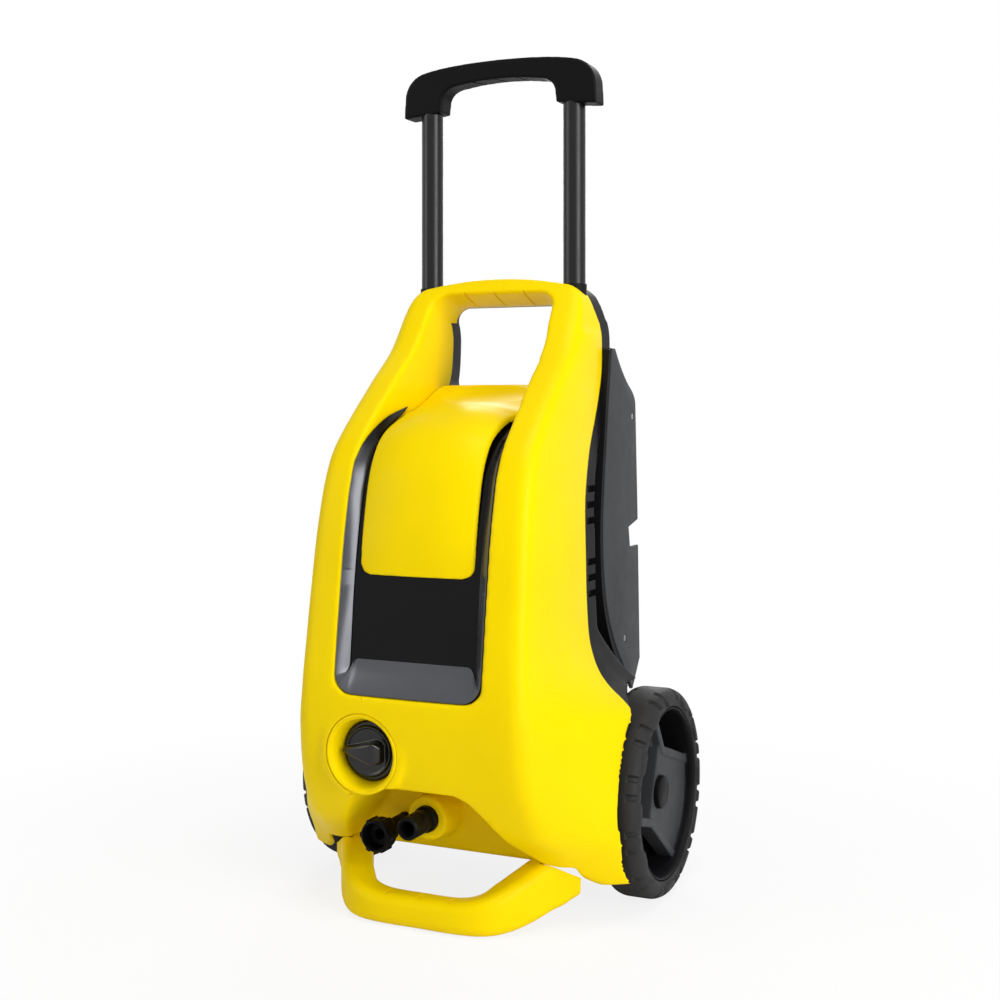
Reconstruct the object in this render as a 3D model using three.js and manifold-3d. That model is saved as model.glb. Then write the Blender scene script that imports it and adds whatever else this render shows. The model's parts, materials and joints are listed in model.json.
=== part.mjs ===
// Upright electric pressure washer on two wheels, with a telescopic pull handle.
// Millimetres, +Z up, the switch side faces -Y, the handle tubes stand in the plane Y = 0 of the inner group.
import * as THREE from "three";
import { mergeVertices } from "three/addons/utils/BufferGeometryUtils.js";
import Module from "manifold-3d";

const wasm = await Module();
wasm.setup();

// Whole machine
const CENTRE_TO_TUBES = 49; // the tubes stand this far behind the middle of the footprint
const GAP = 0.3; // clearance wherever two pieces meet
const ROUND = 20; // facets of a full circle
const FAR = 260; // cutting shapes reach out to this on every side

// Body housing. Each line is a list of [height, value], smoothed by splineThrough.
const CORNER_DEPTH = [
  [20, 96], [33, 108], [63, 137], [84, 165], [100, 177], [131, 192], [172, 199.5], [215, 200],
  [251, 196], [303, 189], [355, 181], [408, 167], [435, 150], [490, 92], [520, 57], [550, 36], [600, 4],
]; // how far the front corners stand ahead of the tubes
const CORNER_HALF = [
  [20, 119], [63, 116.6], [131, 112], [225, 111], [382, 106], [490, 100.5], [550, 97], [600, 94],
];
const SIDE_HALF = [
  [20, 187], [63, 198], [84, 190], [104, 184], [131, 177], [158, 169], [178, 163], [188, 157], [197, 146],
  [205, 135], [217, 124], [232, 116.5], [250, 112], [285, 110.5], [330, 110], [385, 108],
  [440, 104], [500, 100.5], [546, 98.5], [600, 96],
]; // half width along the rear edge of the front housing
const SEAM = [
  [0, -60], [150, -60], [184, -58], [211, -51], [243, -47], [300, -50], [357, -50], [385, -46], [424, -29],
  [462, -4], [500, 15], [545, 20],
]; // where the front housing ends, behind the tubes
const BODY_LEVELS = [
  20, 45, 68, 100, 131, 158, 178, 190, 200, 212, 228, 250, 290, 345, 385, 412, 437, 465, 492, 521, 550,
];
const COARSE_UNTIL = 430; // the inner form skips levels below this, where the skin only bulges
const SHOULDER_HEIGHT = 585; // where the arch meets the rounded top corners
const CROWN_RISE = 7; // the top arches up by this between the shoulders
const BODY_TOP = SHOULDER_HEIGHT + CROWN_RISE;
const SHOULDER_HALF = 72;
const SKY = BODY_TOP + 30; // cutting shapes end above the top
const COLLAR_STEP = 5; // the seam ends this far behind the tubes under the collar
const CORNER_ROUND = 13; // from the corner line to where the front and side surfaces take over
const FRONT_CROWN = 4; // how far the front bows out between its corners
const SIDE_CROWN = 4;
const WALL = 2.6; // moulded housings
const BODY_FLOOR = 62; // underside of the body
const SKIRT_BOTTOM = 33; // lowest point of the side skirts, at the wheels
const [SKIRT_RISE, SKIRT_LEVEL] = [-137, -93]; // the skirts slope down between these places

// Carry-handle opening and the bonnet recess below it
const OPENING_STATIONS = [[-230, 73], [-150, 73], [-60, 69], [-13, 64], [10, 64], [60, 64]]; // [behind the tubes, half width]
const TOP_BAR = 22; // height of the carry bar over the opening, in the plane of the tubes
const OPENING_TOP = BODY_TOP - TOP_BAR;
const OPENING_RISE = 0.36; // the underside of the top bar climbs forwards
const OPENING_SILL = 484;
const RECESS_BOTTOM = 208;
const OPENING_ROUND = 17;
const LIP_WALL = 2.2; // the wall that turns inwards round the opening
const LIP_DEPTH = 26; // how deep it goes beside the window
const GRIP_GROOVES = 3;
const GROOVE_PITCH = 32;
const GROOVE_RADIUS = 1.1;

// Tubes and pull handle
const TUBE_HALF_SPACING = 78.1;
const TUBE_RADIUS = 11;
const TUBE_FACETS = 20;
const TUBE_WALL = 1.5;
const HANDLE_TRAVEL = 150;
const PARKED_GAP = 23.5; // between the pushed-in handle and the shoulders
const HANDLE_BOTTOM = SHOULDER_HEIGHT + HANDLE_TRAVEL + PARKED_GAP;
const HANDLE_HEIGHT = 51.5;
const HANDLE_TOP = HANDLE_BOTTOM + HANDLE_HEIGHT;
const SOCKET_DEPTH = 16.5; // how far each tube goes up into the grip
const TUBE_TOP = HANDLE_BOTTOM + SOCKET_DEPTH;
const HANDLE_HALF = 105;
const HANDLE_DEPTH = 23;
const HAND_GAP_HALF = 62;
const GRIP_THICKNESS = 20;
const HAND_GAP_TOP = HANDLE_TOP - GRIP_THICKNESS;
const SLIDE_CLEARANCE = 0.4;
const COLLAR_DROP = 38;
const COLLAR_HEIGHT = SHOULDER_HEIGHT - COLLAR_DROP; // the rear housing caps the corners above this
const GUIDE_WALL = 1.2;
const GUIDE_HEIGHT = 26;
const LOWER_GUIDE_TOP = 470;
const LOWER_GUIDE_HEIGHT = 24;
const STOP_HEIGHT = 14;
const STOP_WALL = 2.2;

// Rear housing
const BAND = 30; // width of the vented band behind the seam
const BAND_INSET = 1.5;
const STOP_CLEARANCE = 1.1;
const TUB_HALF = TUBE_HALF_SPACING + TUBE_RADIUS + STOP_WALL + STOP_CLEARANCE + WALL;
const TUB_BACK = 40; // back wall behind the tubes
const BACK_LINE = [
  [200, 64], [218, 62], [240, 52], [262, 45], [300, TUB_BACK], [430, TUB_BACK], [470, 26], [486, 16], [515, 20],
  [560, 27],
]; // its upper part
const TUB_ROUND = 12;
const BASE_BACK = 88; // the low part under the storage bay reaches further back
const VENT_HEIGHT = 6.5;
const VENT_PITCH = 15;
const VENT_LENGTH = 22;
const VENT_CENTRES = [372, 303];
const VENTS = 3;
const VENT_DEPTH = TUB_HALF + 2; // the side slots stop short of the deep part
const BACK_VENTS = 5;
const BACK_VENT_PITCH = 17;
const BACK_VENT_LENGTH = 84;
const BACK_VENT_CENTRE = 330;

// Storage cheeks
const CHEEK_STANDOFF = 13; // outer face of a cheek, beyond the side of the tub
const CHEEK_OUTER = TUB_HALF + CHEEK_STANDOFF;
const CHEEK_WALL = 4;
const CHEEK_REAR = 106;
const CHEEK_TOP = 523;
const LEDGE = 6; // width of the ledge in front of each cheek
const LEDGE_BACK = 70; // it runs back to here under the cheek
const NOTCH_BOTTOM = 323;
const NOTCH_TOP = 349;
const NOTCH_DEPTH = 28;
const SHELF_FRONT = 64; // the back wall swells to this above the shelf
const SHELF_HEIGHT = 212; // floor of the storage bay between the cheeks
const SHELF_THICKNESS = 4;

// Bonnet, window and trim
const BONNET_BOTTOM = 314;
const BONNET_ROUND = 14;
const BONNET_HALF = 57.5;
const BONNET_PROFILE = [
  [-186, 314], [-184, 350], [-176, 400], [-163, 430], [-145, 449], [-120, 461], [-92, 467.5], [-62, 470],
  [-13.5, 483],
]; // crown line seen from the side
const BONNET_DROOP = [[314, 4], [350, 6], [400, 9], [440, 10]]; // its edges lie this far inside the crown line
const BONNET_HALF_LINE = [[-200, 58], [-102, 58], [-78, 66], [-60, 68.5], [0, 68.5]];
const BONNET_WALL = 3;
const SCOOP_HALF = 46; // hand clearance behind the crown of the bonnet
const SCOOP_DEPTH = 5;
const WINDOW_DEPTH = [
  [200, 192], [250, 187], [300, 182], [350, 174], [385, 165], [402, 160], [417, 151], [433, 135], [447, 108],
  [464, 70],
]; // window and the edge of the bonnet, ahead of the tubes
const LIP_END = [[-12, 470], [-12, 486], [-3, 511], [3, 533], [6, 548]]; // back edge of the inner wall
const LIP_TOP = 3; // and where it runs on upwards
const WINDOW_WALL = 3;
const TRIM_SIDE = 9.5; // width of the bevelled trim beside the window
const TRIM_FOOT = 30; // and below it
const TRIM_LEVELS = [225, 240, 265, 300, 340, 380, 402, 418, 432, 445]; // heights shared with the window
const TRIM_LIP = 1.2; // step between the trim and the housing round it
const TRIM_HORN = [[420, 161], [432, 150], [445, 131], [457, 105], [465, 72]]; // where it leaves the front skin

// Switch
const SWITCH_X = -44;
const SWITCH_Z = 156;
const SWITCH_FRONT = 203.5; // lip of the recess, ahead of the tubes
const SWITCH_RIM = 40;
const SWITCH_BOWL = 34;
const DIAL_RADIUS = 27;
const DIAL_FRONT = 188;
const DIAL_THICKNESS = 7;
const POINTER_HEIGHT = 13;
const BOWL_WALL = 2.4;
const BEZEL_BACK = DIAL_FRONT - DIAL_THICKNESS - BOWL_WALL;
const BEZEL_FACETS = 24;
const SPINDLE_RADIUS = 4;

// Water connections in the alcove
const ALCOVE = [[97, 60], [80, 90], [66, 109], [54, 122], [42, 127]]; // half width, height of its arch
const ALCOVE_BACK = 118; // its back wall, ahead of the tubes
const ALCOVE_FALL = 0.16; // the arch sinks towards the back
const OUTLET_X = -6;
const OUTLET_Z = 90;
const OUTLET_RADIUS = 10.5;
const OUTLET_BORE = 6.5;
const OUTLET_TIP = 188;
const BOSS_RADIUS = 20;
const BOSS_FRONT = 150;
const COLLAR_RADIUS = 12;
const INLET_X = -45;
const INLET_Z = 76;
const SPIGOT_RADIUS = 8;
const SPIGOT_BORE = 5;
const NUT_RADIUS = 14.5;
const NUT_FRONT = 178;
const NUT_LENGTH = 26;
const NUT_RIBS = 6;

// Foot bar, [how far along, half width, ahead of the tubes, underside, top]
const FOOT_PATH = [
  [0, 172, 0, 28], [38, 172, 0, 29], [62, 168, 0, 38], [79, 156, 1, 51], [93, 138, 4, 61], [106, 118, 8, 62],
  [119, 96, 13, 54], [130, 78, 17, 43],
];
const FOOT_WIDTH = 30;
const FOOT_ROUND = 9;

// Wheels
const AXLE_BEHIND = 1; // behind the tubes
const WHEEL_RADIUS = 98;
const AXLE_RADIUS = 5;
const WHEEL_INNER = 133;
const WHEEL_OUTER = 178;
const TYRE_HEIGHT = 17; // from the rim to the tread
const RIM_RADIUS = WHEEL_RADIUS - TYRE_HEIGHT;
const RIM_WALL = 4;
const TREAD_DEPTH = 4;
const LUGS = 12;
const WHEEL_FACETS = 36;
const HUB_RADIUS = 13;
const WELL_CLEARANCE = 5;
const WELL_INNER = 128; // the body keeps inside this near the wheels
const AXLE_BOSS_RADIUS = 11;
const CAP_RADIUS = 15.5;

// Motor and pump
const DRIVE_Y = -65;
const PUMP_HEAD_HEIGHT = 48;
const PUMP_HEAD_HALF = 34;
const PUMP_HOUSING_HEIGHT = 46;
const PUMP_HOUSING_RADIUS = 44;
const MOTOR_RADIUS = 50;
const MOTOR_HEIGHT = 128;
const MOTOR_RIBS = 8;
const DRIVE_FACETS = 16;
const END_SHIELD_HEIGHT = 16;
const FAN_RADIUS = 42;
const FAN_HEIGHT = 14;
const FAN_BLADES = 8;
const SHAFT_RADIUS = 6;
const SWASH_RADIUS = 32;
const PISTONS = 3;
const PISTON_RADIUS = 5.5;
const PISTON_CIRCLE = 20;
const CAPACITOR_RADIUS = 17;
const CAPACITOR_HEIGHT = 72;
const [CAPACITOR_X, CAPACITOR_Y] = [63, -45];

// Colours and finishes
const YELLOW = { color: 0xf5dc00, roughness: 0.38, metalness: 0 };
const BLACK = { color: 0x232325, roughness: 0.5, metalness: 0 };
const GREY = { color: 0x4c4d4f, roughness: 0.55, metalness: 0 };
const GLOSS = { color: 0x0d0d0f, roughness: 0.12, metalness: 0 };
const TRIM = { color: 0x6d6e72, roughness: 0.3, metalness: 0.6 };
const RUBBER = { color: 0x1d1d1e, roughness: 0.8, metalness: 0 };
const PAINTED_TUBE = { color: 0x1b1b1d, roughness: 0.35, metalness: 0.4 };
const STEEL = { color: 0x9a9da1, roughness: 0.35, metalness: 1 };
const ALUMINIUM = { color: 0xb4b7ba, roughness: 0.45, metalness: 1 };

// ---------------------------------------------------------------- solids

// A closed geometry as a manifold solid, its faces turned outwards.
function solid(geometry) {
  const bare = new THREE.BufferGeometry();
  bare.setAttribute("position", geometry.getAttribute("position").clone());
  if (geometry.index) bare.setIndex(geometry.index.clone());
  const merged = mergeVertices(bare, 1e-4);
  const index = merged.index.array;
  const corners = [];
  for (let i = 0; i < index.length; i += 3) {
    const [a, b, c] = [index[i], index[i + 1], index[i + 2]];
    if (a !== b && b !== c && a !== c) corners.push(a, b, c);
  }
  const vertProperties = new Float32Array(merged.attributes.position.array);
  const made = (triVerts) => new wasm.Manifold(new wasm.Mesh({ numProp: 3, vertProperties, triVerts }));
  const first = made(new Uint32Array(corners));
  return first.volume() < 0 ? made(new Uint32Array(corners).reverse()) : first;
}

function geometryOf(manifold) {
  const mesh = manifold.getMesh();
  const geometry = new THREE.BufferGeometry();
  geometry.setAttribute("position", new THREE.BufferAttribute(mesh.vertProperties, 3));
  geometry.setIndex(new THREE.BufferAttribute(mesh.triVerts, 1));
  const faceted = geometry.toNonIndexed();
  faceted.computeVertexNormals();
  return faceted;
}

function box(x0, x1, y0, y1, z0, z1) {
  const geometry = new THREE.BoxGeometry(x1 - x0, y1 - y0, z1 - z0);
  return solid(geometry.translate((x0 + x1) / 2, (y0 + y1) / 2, (z0 + z1) / 2));
}

// A round bar or cone along one axis, from `from` to `to`, centred on the two other coordinates.
function rod(axis, from, to, radius, a, b, endRadius = radius, facets = ROUND) {
  const geometry = new THREE.CylinderGeometry(endRadius, radius, to - from, facets);
  const middle = (from + to) / 2;
  if (axis === "x") return solid(geometry.rotateZ(-Math.PI / 2).translate(middle, a, b));
  if (axis === "y") return solid(geometry.translate(a, middle, b));
  return solid(geometry.rotateX(Math.PI / 2).translate(a, b, middle));
}

// A closed profile of [radius, distance along the axis] turned about an axis parallel to X or Z.
function turned(axis, profile, a, b, facets = ROUND) {
  const points = profile.map(([radius, along]) => new THREE.Vector2(Math.max(radius, 0), along));
  const geometry = new THREE.LatheGeometry([...points, points[0].clone()], facets);
  if (axis === "x") return solid(geometry.rotateZ(-Math.PI / 2).translate(0, a, b));
  if (axis === "y") return solid(geometry.translate(a, 0, b));
  return solid(geometry.rotateX(Math.PI / 2).translate(a, b, 0));
}

// A front-view outline (x, z) pushed through from y0 to y1.
function frontPrism(shape, y0, y1, curveSegments = 8) {
  const geometry = new THREE.ExtrudeGeometry(shape, { depth: y1 - y0, bevelEnabled: false, curveSegments });
  return solid(geometry.rotateX(Math.PI / 2).translate(0, y1, 0));
}

// A side-view outline (y, z) pushed through from x0 to x1.
function sidePrism(shape, x0, x1, curveSegments = 8) {
  const geometry = new THREE.ExtrudeGeometry(shape, { depth: x1 - x0, bevelEnabled: false, curveSegments });
  geometry.rotateY(Math.PI / 2).rotateX(Math.PI / 2);
  return solid(geometry.translate(x0, 0, 0));
}

function polygon(points) {
  return new THREE.Shape(points.map(([u, v]) => new THREE.Vector2(u, v)));
}

// A closed skin over rings of equally many points. Each end is closed by strips between its two halves.
function loft(rings) {
  const count = rings[0].length;
  const last = rings.length - 1;
  const index = [];
  for (let i = 0; i < last; i += 1) {
    for (let j = 0; j < count; j += 1) {
      const [a, b] = [i * count + j, i * count + ((j + 1) % count)];
      if (j < count / 2) index.push(a, b, b + count, a, b + count, a + count);
      else index.push(a, b, a + count, b, b + count, a + count);
    }
  }
  for (let j = 0; j < count / 2 - 1; j += 1) {
    const [a, b, c, d] = [j, j + 1, count - 2 - j, count - 1 - j];
    const far = last * count;
    if (b !== c) index.push(c, b, a, a + far, b + far, c + far);
    index.push(d, c, a, a + far, c + far, d + far);
  }
  const geometry = new THREE.BufferGeometry();
  const positions = rings.flat().flatMap((p) => [p.x, p.y, p.z]);
  geometry.setAttribute("position", new THREE.Float32BufferAttribute(positions, 3));
  geometry.setIndex(index);
  return solid(geometry);
}

const point = (x, y, z) => new THREE.Vector3(x, y, z);

// A smooth value between the stations [at, value] of a line.
function splineThrough(stations, at) {
  if (at <= stations[0][0]) return stations[0][1];
  const last = stations.length - 1;
  if (at >= stations[last][0]) return stations[last][1];
  const k = stations.findIndex(([position]) => position > at) - 1;
  const [x0, y0] = stations[k];
  const [x1, y1] = stations[k + 1];
  const slope = (i) => {
    const [before, after] = [stations[Math.max(i - 1, 0)], stations[Math.min(i + 1, last)]];
    return (after[1] - before[1]) / (after[0] - before[0]);
  };
  const t = (at - x0) / (x1 - x0);
  const span = x1 - x0;
  const bend = t * t * (3 - 2 * t);
  const leaving = t * (1 - t) * (1 - t) * span * slope(k);
  const arriving = t * t * (1 - t) * span * slope(k + 1);
  return y0 + bend * (y1 - y0) + leaving - arriving;
}

// A rectangle with rounded corners as a ring of points, `across` and `up` being its two directions.
function roundedRing(centre, across, up, width, height, round, steps = 4) {
  const ring = [];
  const radius = Math.min(round, width / 2 - 0.1, height / 2 - 0.1);
  [[1, 1], [-1, 1], [-1, -1], [1, -1]].forEach(([su, sv], quarter) => {
    for (let i = 0; i <= steps; i += 1) {
      const turn = ((quarter + i / steps) * Math.PI) / 2;
      const u = su * (width / 2 - radius) + radius * Math.cos(turn);
      const v = sv * (height / 2 - radius) + radius * Math.sin(turn);
      ring.push(centre.clone().addScaledVector(across, u).addScaledVector(up, v));
    }
  });
  return ring;
}

// ---------------------------------------------------------------- body form

// One level of the body, `inset` inside its skin and reaching back to `back`.
function bodyRing(z, inset, back) {
  const front = -splineThrough(CORNER_DEPTH, z) + inset;
  const half = splineThrough(CORNER_HALF, z) - inset;
  const side = splineThrough(SIDE_HALF, z) - inset;
  const seam = Math.max(splineThrough(SEAM, z), front + 40);
  const corner = new THREE.Vector2(half, front);
  const rear = new THREE.Vector2(side, seam);
  const bowed = (share) => {
    const p = rear.clone().lerp(corner, share);
    const out = new THREE.Vector2(rear.y - corner.y, corner.x - rear.x).normalize();
    return p.addScaledVector(out, 4 * SIDE_CROWN * share * (1 - share));
  };
  const reach = rear.distanceTo(corner);
  const entry = bowed(1 - CORNER_ROUND / reach);
  const frontAt = (x) => new THREE.Vector2(x, front - FRONT_CROWN * (1 - (x / half) ** 2));
  const exit = frontAt(half - CORNER_ROUND);
  const arc = new THREE.QuadraticBezierCurve(entry, corner, exit).getPoints(3);
  const smooth = [rear, bowed(0.3), bowed(0.6), ...arc, frontAt(half * 0.56), frontAt(half * 0.2)];
  const plain = [rear, bowed(0.5), entry, exit, frontAt(half * 0.3)];
  const right = [new THREE.Vector2(side, back), ...(inset > 0 ? plain : smooth)];
  const left = right.map((p) => new THREE.Vector2(-p.x, p.y)).reverse();
  return [...right, ...left].map((p) => point(p.x, p.y, z)).reverse();
}

function bodyForm(inset, back = 60) {
  const fine = (z) => (z > 170 && z < 260) || z > COARSE_UNTIL;
  const levels = BODY_LEVELS.filter((z, i) => inset <= 0 || i % 2 === 0 || fine(z));
  return loft([...levels, BODY_TOP + 8].map((z) => bodyRing(z, inset, back))).intersect(topArch(inset));
}

// Front view of the whole body: straight sides, rounded shoulders and an arched top.
function topArch(inset) {
  const shape = new THREE.Shape();
  const [wide, shoulder] = [175, splineThrough(SIDE_HALF, COLLAR_HEIGHT) - inset];
  shape.moveTo(-wide, -10).lineTo(wide, -10);
  shape.lineTo(wide, COLLAR_HEIGHT - 60).lineTo(shoulder, COLLAR_HEIGHT - 8);
  shape.quadraticCurveTo(shoulder - 1, SHOULDER_HEIGHT - inset - 2, SHOULDER_HALF, SHOULDER_HEIGHT - inset);
  const crown = 2 * (BODY_TOP - inset) - (SHOULDER_HEIGHT - inset);
  shape.quadraticCurveTo(0, crown, -SHOULDER_HALF, SHOULDER_HEIGHT - inset);
  shape.quadraticCurveTo(1 - shoulder, SHOULDER_HEIGHT - inset - 2, -shoulder, COLLAR_HEIGHT - 8);
  shape.lineTo(-wide, COLLAR_HEIGHT - 60);
  return frontPrism(shape, -260, 120, 6);
}

// The seam between the housings in the side view, moved back by `behind`, up to a height.
function seamLine(behind, top) {
  const stations = SEAM.map(([z]) => z).filter((z) => z > 0 && z < top - 5);
  return [-10, ...stations, top].map((z) => [splineThrough(SEAM, z) + behind, z]);
}

// Everything behind that line.
function behindSeam(behind) {
  const line = seamLine(behind, COLLAR_HEIGHT);
  const notch = [[behind + COLLAR_STEP, COLLAR_HEIGHT], [behind, SKY]];
  return sidePrism(polygon([[FAR, -10], ...line, ...notch, [FAR, SKY]]), -FAR, FAR);
}

// Half width of the opening, straight between its stations.
function openingHalf(y) {
  const k = Math.max(OPENING_STATIONS.findIndex(([at]) => at > y), 1);
  const [[y0, half0], [y1, half1]] = [OPENING_STATIONS[k - 1], OPENING_STATIONS[k]];
  return half0 + ((half1 - half0) * (y - y0)) / (y1 - y0);
}

// The carry-handle opening and the recess under it, from its sill or its foot upwards, `grown` on every side.
function opening(bottom, grown) {
  const rings = OPENING_STATIONS.map(([y]) => {
    const half = openingHalf(y) + grown;
    const top = Math.min(OPENING_TOP - OPENING_RISE * Math.max(y, -40), SHOULDER_HEIGHT) + grown;
    const [middle, height] = [(top + bottom - grown) / 2, top - bottom + grown];
    const round = OPENING_ROUND + grown;
    return roundedRing(point(0, y, middle), point(1, 0, 0), point(0, 0, 1), 2 * half, height, round, 3);
  });
  return loft(rings);
}

// The wheel arches, cut from both sides of the body.
function wheelWells(radius, inner = WELL_INNER) {
  const [y, z] = [AXLE_BEHIND, WHEEL_RADIUS];
  const arch = (from, to) => rod("x", from, to, radius, y, z, radius, WHEEL_FACETS);
  return arch(inner, 200).add(arch(-200, -inner));
}

// Alcove for the water connections, its arch sinking towards the back wall.
function alcove(grown, back) {
  const ring = (y) => {
    const fall = ALCOVE_FALL * (y + 200);
    const side = ALCOVE.map(([half, height]) => point(half + grown, y, height + grown - fall));
    side[0].z = ALCOVE[0][1];
    const right = [point(ALCOVE[0][0] + grown, y, 0), ...side];
    const left = right.map((p) => point(-p.x, p.y, p.z)).reverse();
    return [...right, ...left].reverse();
  };
  return loft([ring(-230), ring(back)]);
}

// ---------------------------------------------------------------- front housing

// Side view of the wall that turns inwards round the opening, beside the bonnet and the window.
function lipRegion() {
  const inner = WINDOW_DEPTH.map(([z, depth]) => [-depth + LIP_DEPTH * 0.6, z - LIP_DEPTH * 0.4]);
  const outline = [[-FAR, 190], ...inner, [-60, 452], ...LIP_END, [LIP_TOP, SKY], [-FAR, SKY]];
  return sidePrism(polygon(outline), -FAR, FAR);
}

// The same wall's back part, which belongs to the rear housing.
function rearLipRegion() {
  const line = [...LIP_END, [LIP_TOP, SKY]].map(([y, z]) => [y + GAP, z]);
  return sidePrism(polygon([...line, [FAR, SKY], [FAR, LIP_END[0][1]]]), -FAR, FAR);
}

// What lies under the body and its side skirts, kept `clear` below them.
function underside(clear) {
  const [floor, skirt] = [BODY_FLOOR - clear, SKIRT_BOTTOM - clear];
  const shape = polygon([
    [-FAR, -20], [-FAR, floor], [SKIRT_RISE, floor], [SKIRT_LEVEL, skirt], [FAR, skirt], [FAR, -20],
  ]);
  return sidePrism(shape, -FAR, FAR);
}

function underCut() {
  return underside(0).add(box(-WELL_INNER, WELL_INNER, SKIRT_RISE, FAR, -20, BODY_FLOOR - 8));
}

function switchCup(radius, front, back, backRadius = radius) {
  return rod("y", -front, -back, radius, SWITCH_X, SWITCH_Z, backRadius, BEZEL_FACETS);
}

// The hole that the switch's bezel sits in.
function bezelHole() {
  return switchCup(SWITCH_RIM + GAP, SWITCH_FRONT + 10, BEZEL_BACK - GAP);
}

function frontShell() {
  const walls = opening(RECESS_BOTTOM, LIP_WALL).intersect(lipRegion());
  const hollow = bodyForm(WALL, 80).subtract(walls);
  let shell = bodyForm(0).subtract(hollow).subtract(behindSeam(0));
  shell = shell.subtract(tubeRoom(TUBE_RADIUS + GUIDE_WALL + GAP));
  shell = shell.subtract(alcove(WALL + GAP, -ALCOVE_BACK + WALL + GAP));
  shell = shell.subtract(bezelHole());
  shell = shell.subtract(opening(RECESS_BOTTOM, 0)).subtract(wheelWells(WHEEL_RADIUS + WELL_CLEARANCE));
  return shell.subtract(underCut()).subtract(gripGrooves());
}

// Arched surround of the alcove, which meets the front housing all round its mouth.
function connectionSurround() {
  const outside = bodyForm(0).intersect(alcove(WALL, -ALCOVE_BACK - GAP));
  return outside.subtract(alcove(0, -ALCOVE_BACK)).subtract(underCut()).subtract(bezelHole());
}

// Back wall of the alcove with the outlet's boss and the holes for both connections.
function connectionPanel() {
  const wall = alcove(WALL, -ALCOVE_BACK + WALL).subtract(alcove(WALL + GAP, -ALCOVE_BACK));
  const boss = rod("y", -BOSS_FRONT, -ALCOVE_BACK + 1, BOSS_RADIUS, OUTLET_X, OUTLET_Z, BOSS_RADIUS + 3);
  return wall.add(boss).subtract(underCut()).subtract(connectionHoles());
}

// Round bezel of the switch: a double lip in front, and the dial's tapered bowl inside.
function switchBezel() {
  const [rim, front] = [SWITCH_RIM, SWITCH_FRONT];
  const profile = [
    [0, -front + 0.5], [SWITCH_BOWL - 2, -front + 0.5], [SWITCH_BOWL + 1.5, -front], [SWITCH_BOWL + 3, -front + 1.6],
    [rim - 1, -front + 2], [rim, -front + 4], [rim, -BEZEL_BACK], [0, -BEZEL_BACK],
  ];
  return turned("y", profile, SWITCH_X, SWITCH_Z, BEZEL_FACETS).subtract(switchBowl());
}

// Tapered bowl down to the dial, with the dial's seat and the hole for its spindle behind it.
function switchBowl() {
  const bowl = switchCup(SWITCH_BOWL, SWITCH_FRONT + 10, DIAL_FRONT - 1, DIAL_RADIUS + 1);
  const seat = switchCup(DIAL_RADIUS + 1, DIAL_FRONT, DIAL_FRONT - DIAL_THICKNESS - GAP);
  return bowl.add(seat).add(switchCup(SPINDLE_RADIUS + GAP, DIAL_FRONT, 140));
}

function connectionHoles() {
  const outlet = rod("y", -BOSS_FRONT - 5, -90, COLLAR_RADIUS + GAP, OUTLET_X, OUTLET_Z);
  return outlet.add(rod("y", -BOSS_FRONT, -90, SPIGOT_RADIUS + GAP, INLET_X, INLET_Z));
}

// Finger grooves across the underside of the carry handle.
function gripGrooves() {
  let grooves = null;
  for (let i = 0; i < GRIP_GROOVES; i += 1) {
    const x = (i - (GRIP_GROOVES - 1) / 2) * GROOVE_PITCH;
    const bar = new THREE.CylinderGeometry(GROOVE_RADIUS, GROOVE_RADIUS, 60, 8).rotateX(-OPENING_RISE);
    const placed = solid(bar.translate(x, -5, OPENING_TOP + 2));
    grooves = grooves ? grooves.add(placed) : placed;
  }
  return grooves;
}

// Room for both tubes, from the lower guides to above the body.
function tubeRoom(radius, bottom = LOWER_GUIDE_TOP - LOWER_GUIDE_HEIGHT - 10, top = SKY) {
  const tube = (side) => rod("z", bottom, top, radius, side * TUBE_HALF_SPACING, 0, radius, TUBE_FACETS);
  return tube(-1).add(tube(1));
}

// ---------------------------------------------------------------- rear housing

// The deep part between the wheels and up to the top, `inset` inside its walls.
function tub(inset, front) {
  const levels = [BODY_FLOOR + inset, ...BACK_LINE.slice(1).map(([z]) => z), BODY_TOP + 8];
  const rings = levels.map((z) => {
    const back = splineThrough(BACK_LINE, z) - inset;
    const middle = point(0, (back + front) / 2, z);
    const width = 2 * (Math.min(TUB_HALF, splineThrough(SIDE_HALF, z) - BAND_INSET) - inset);
    return roundedRing(middle, point(1, 0, 0), point(0, 1, 0), width, back - front, TUB_ROUND - inset, 3);
  });
  const base = [BODY_FLOOR + inset, SHELF_HEIGHT - SHELF_THICKNESS - GAP - inset].map((z) => {
    const [near, far] = [TUB_BACK - 2 * TUB_ROUND, BASE_BACK - inset];
    const [middle, width] = [point(0, (near + far) / 2, z), 2 * (TUB_HALF - inset)];
    return roundedRing(middle, point(1, 0, 0), point(0, 1, 0), width, far - near, TUB_ROUND, 3);
  });
  return loft(rings).intersect(topArch(BAND_INSET + inset)).add(loft(base));
}

// The vented band just behind the seam, closed by a step down to the deep part.
function band() {
  const outside = bodyForm(BAND_INSET).subtract(behindSeam(BAND));
  const inside = bodyForm(BAND_INSET + WALL, 80).subtract(behindSeam(BAND - WALL));
  const line = BACK_LINE.map(([z, y]) => [y, z]);
  const backPlane = sidePrism(polygon([[FAR, 0], [TUB_BACK, 0], ...line, [30, SKY], [FAR, SKY]]), -FAR, FAR);
  return outside.subtract(inside).subtract(backPlane).subtract(wheelWells(WHEEL_RADIUS + WELL_CLEARANCE));
}

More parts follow.
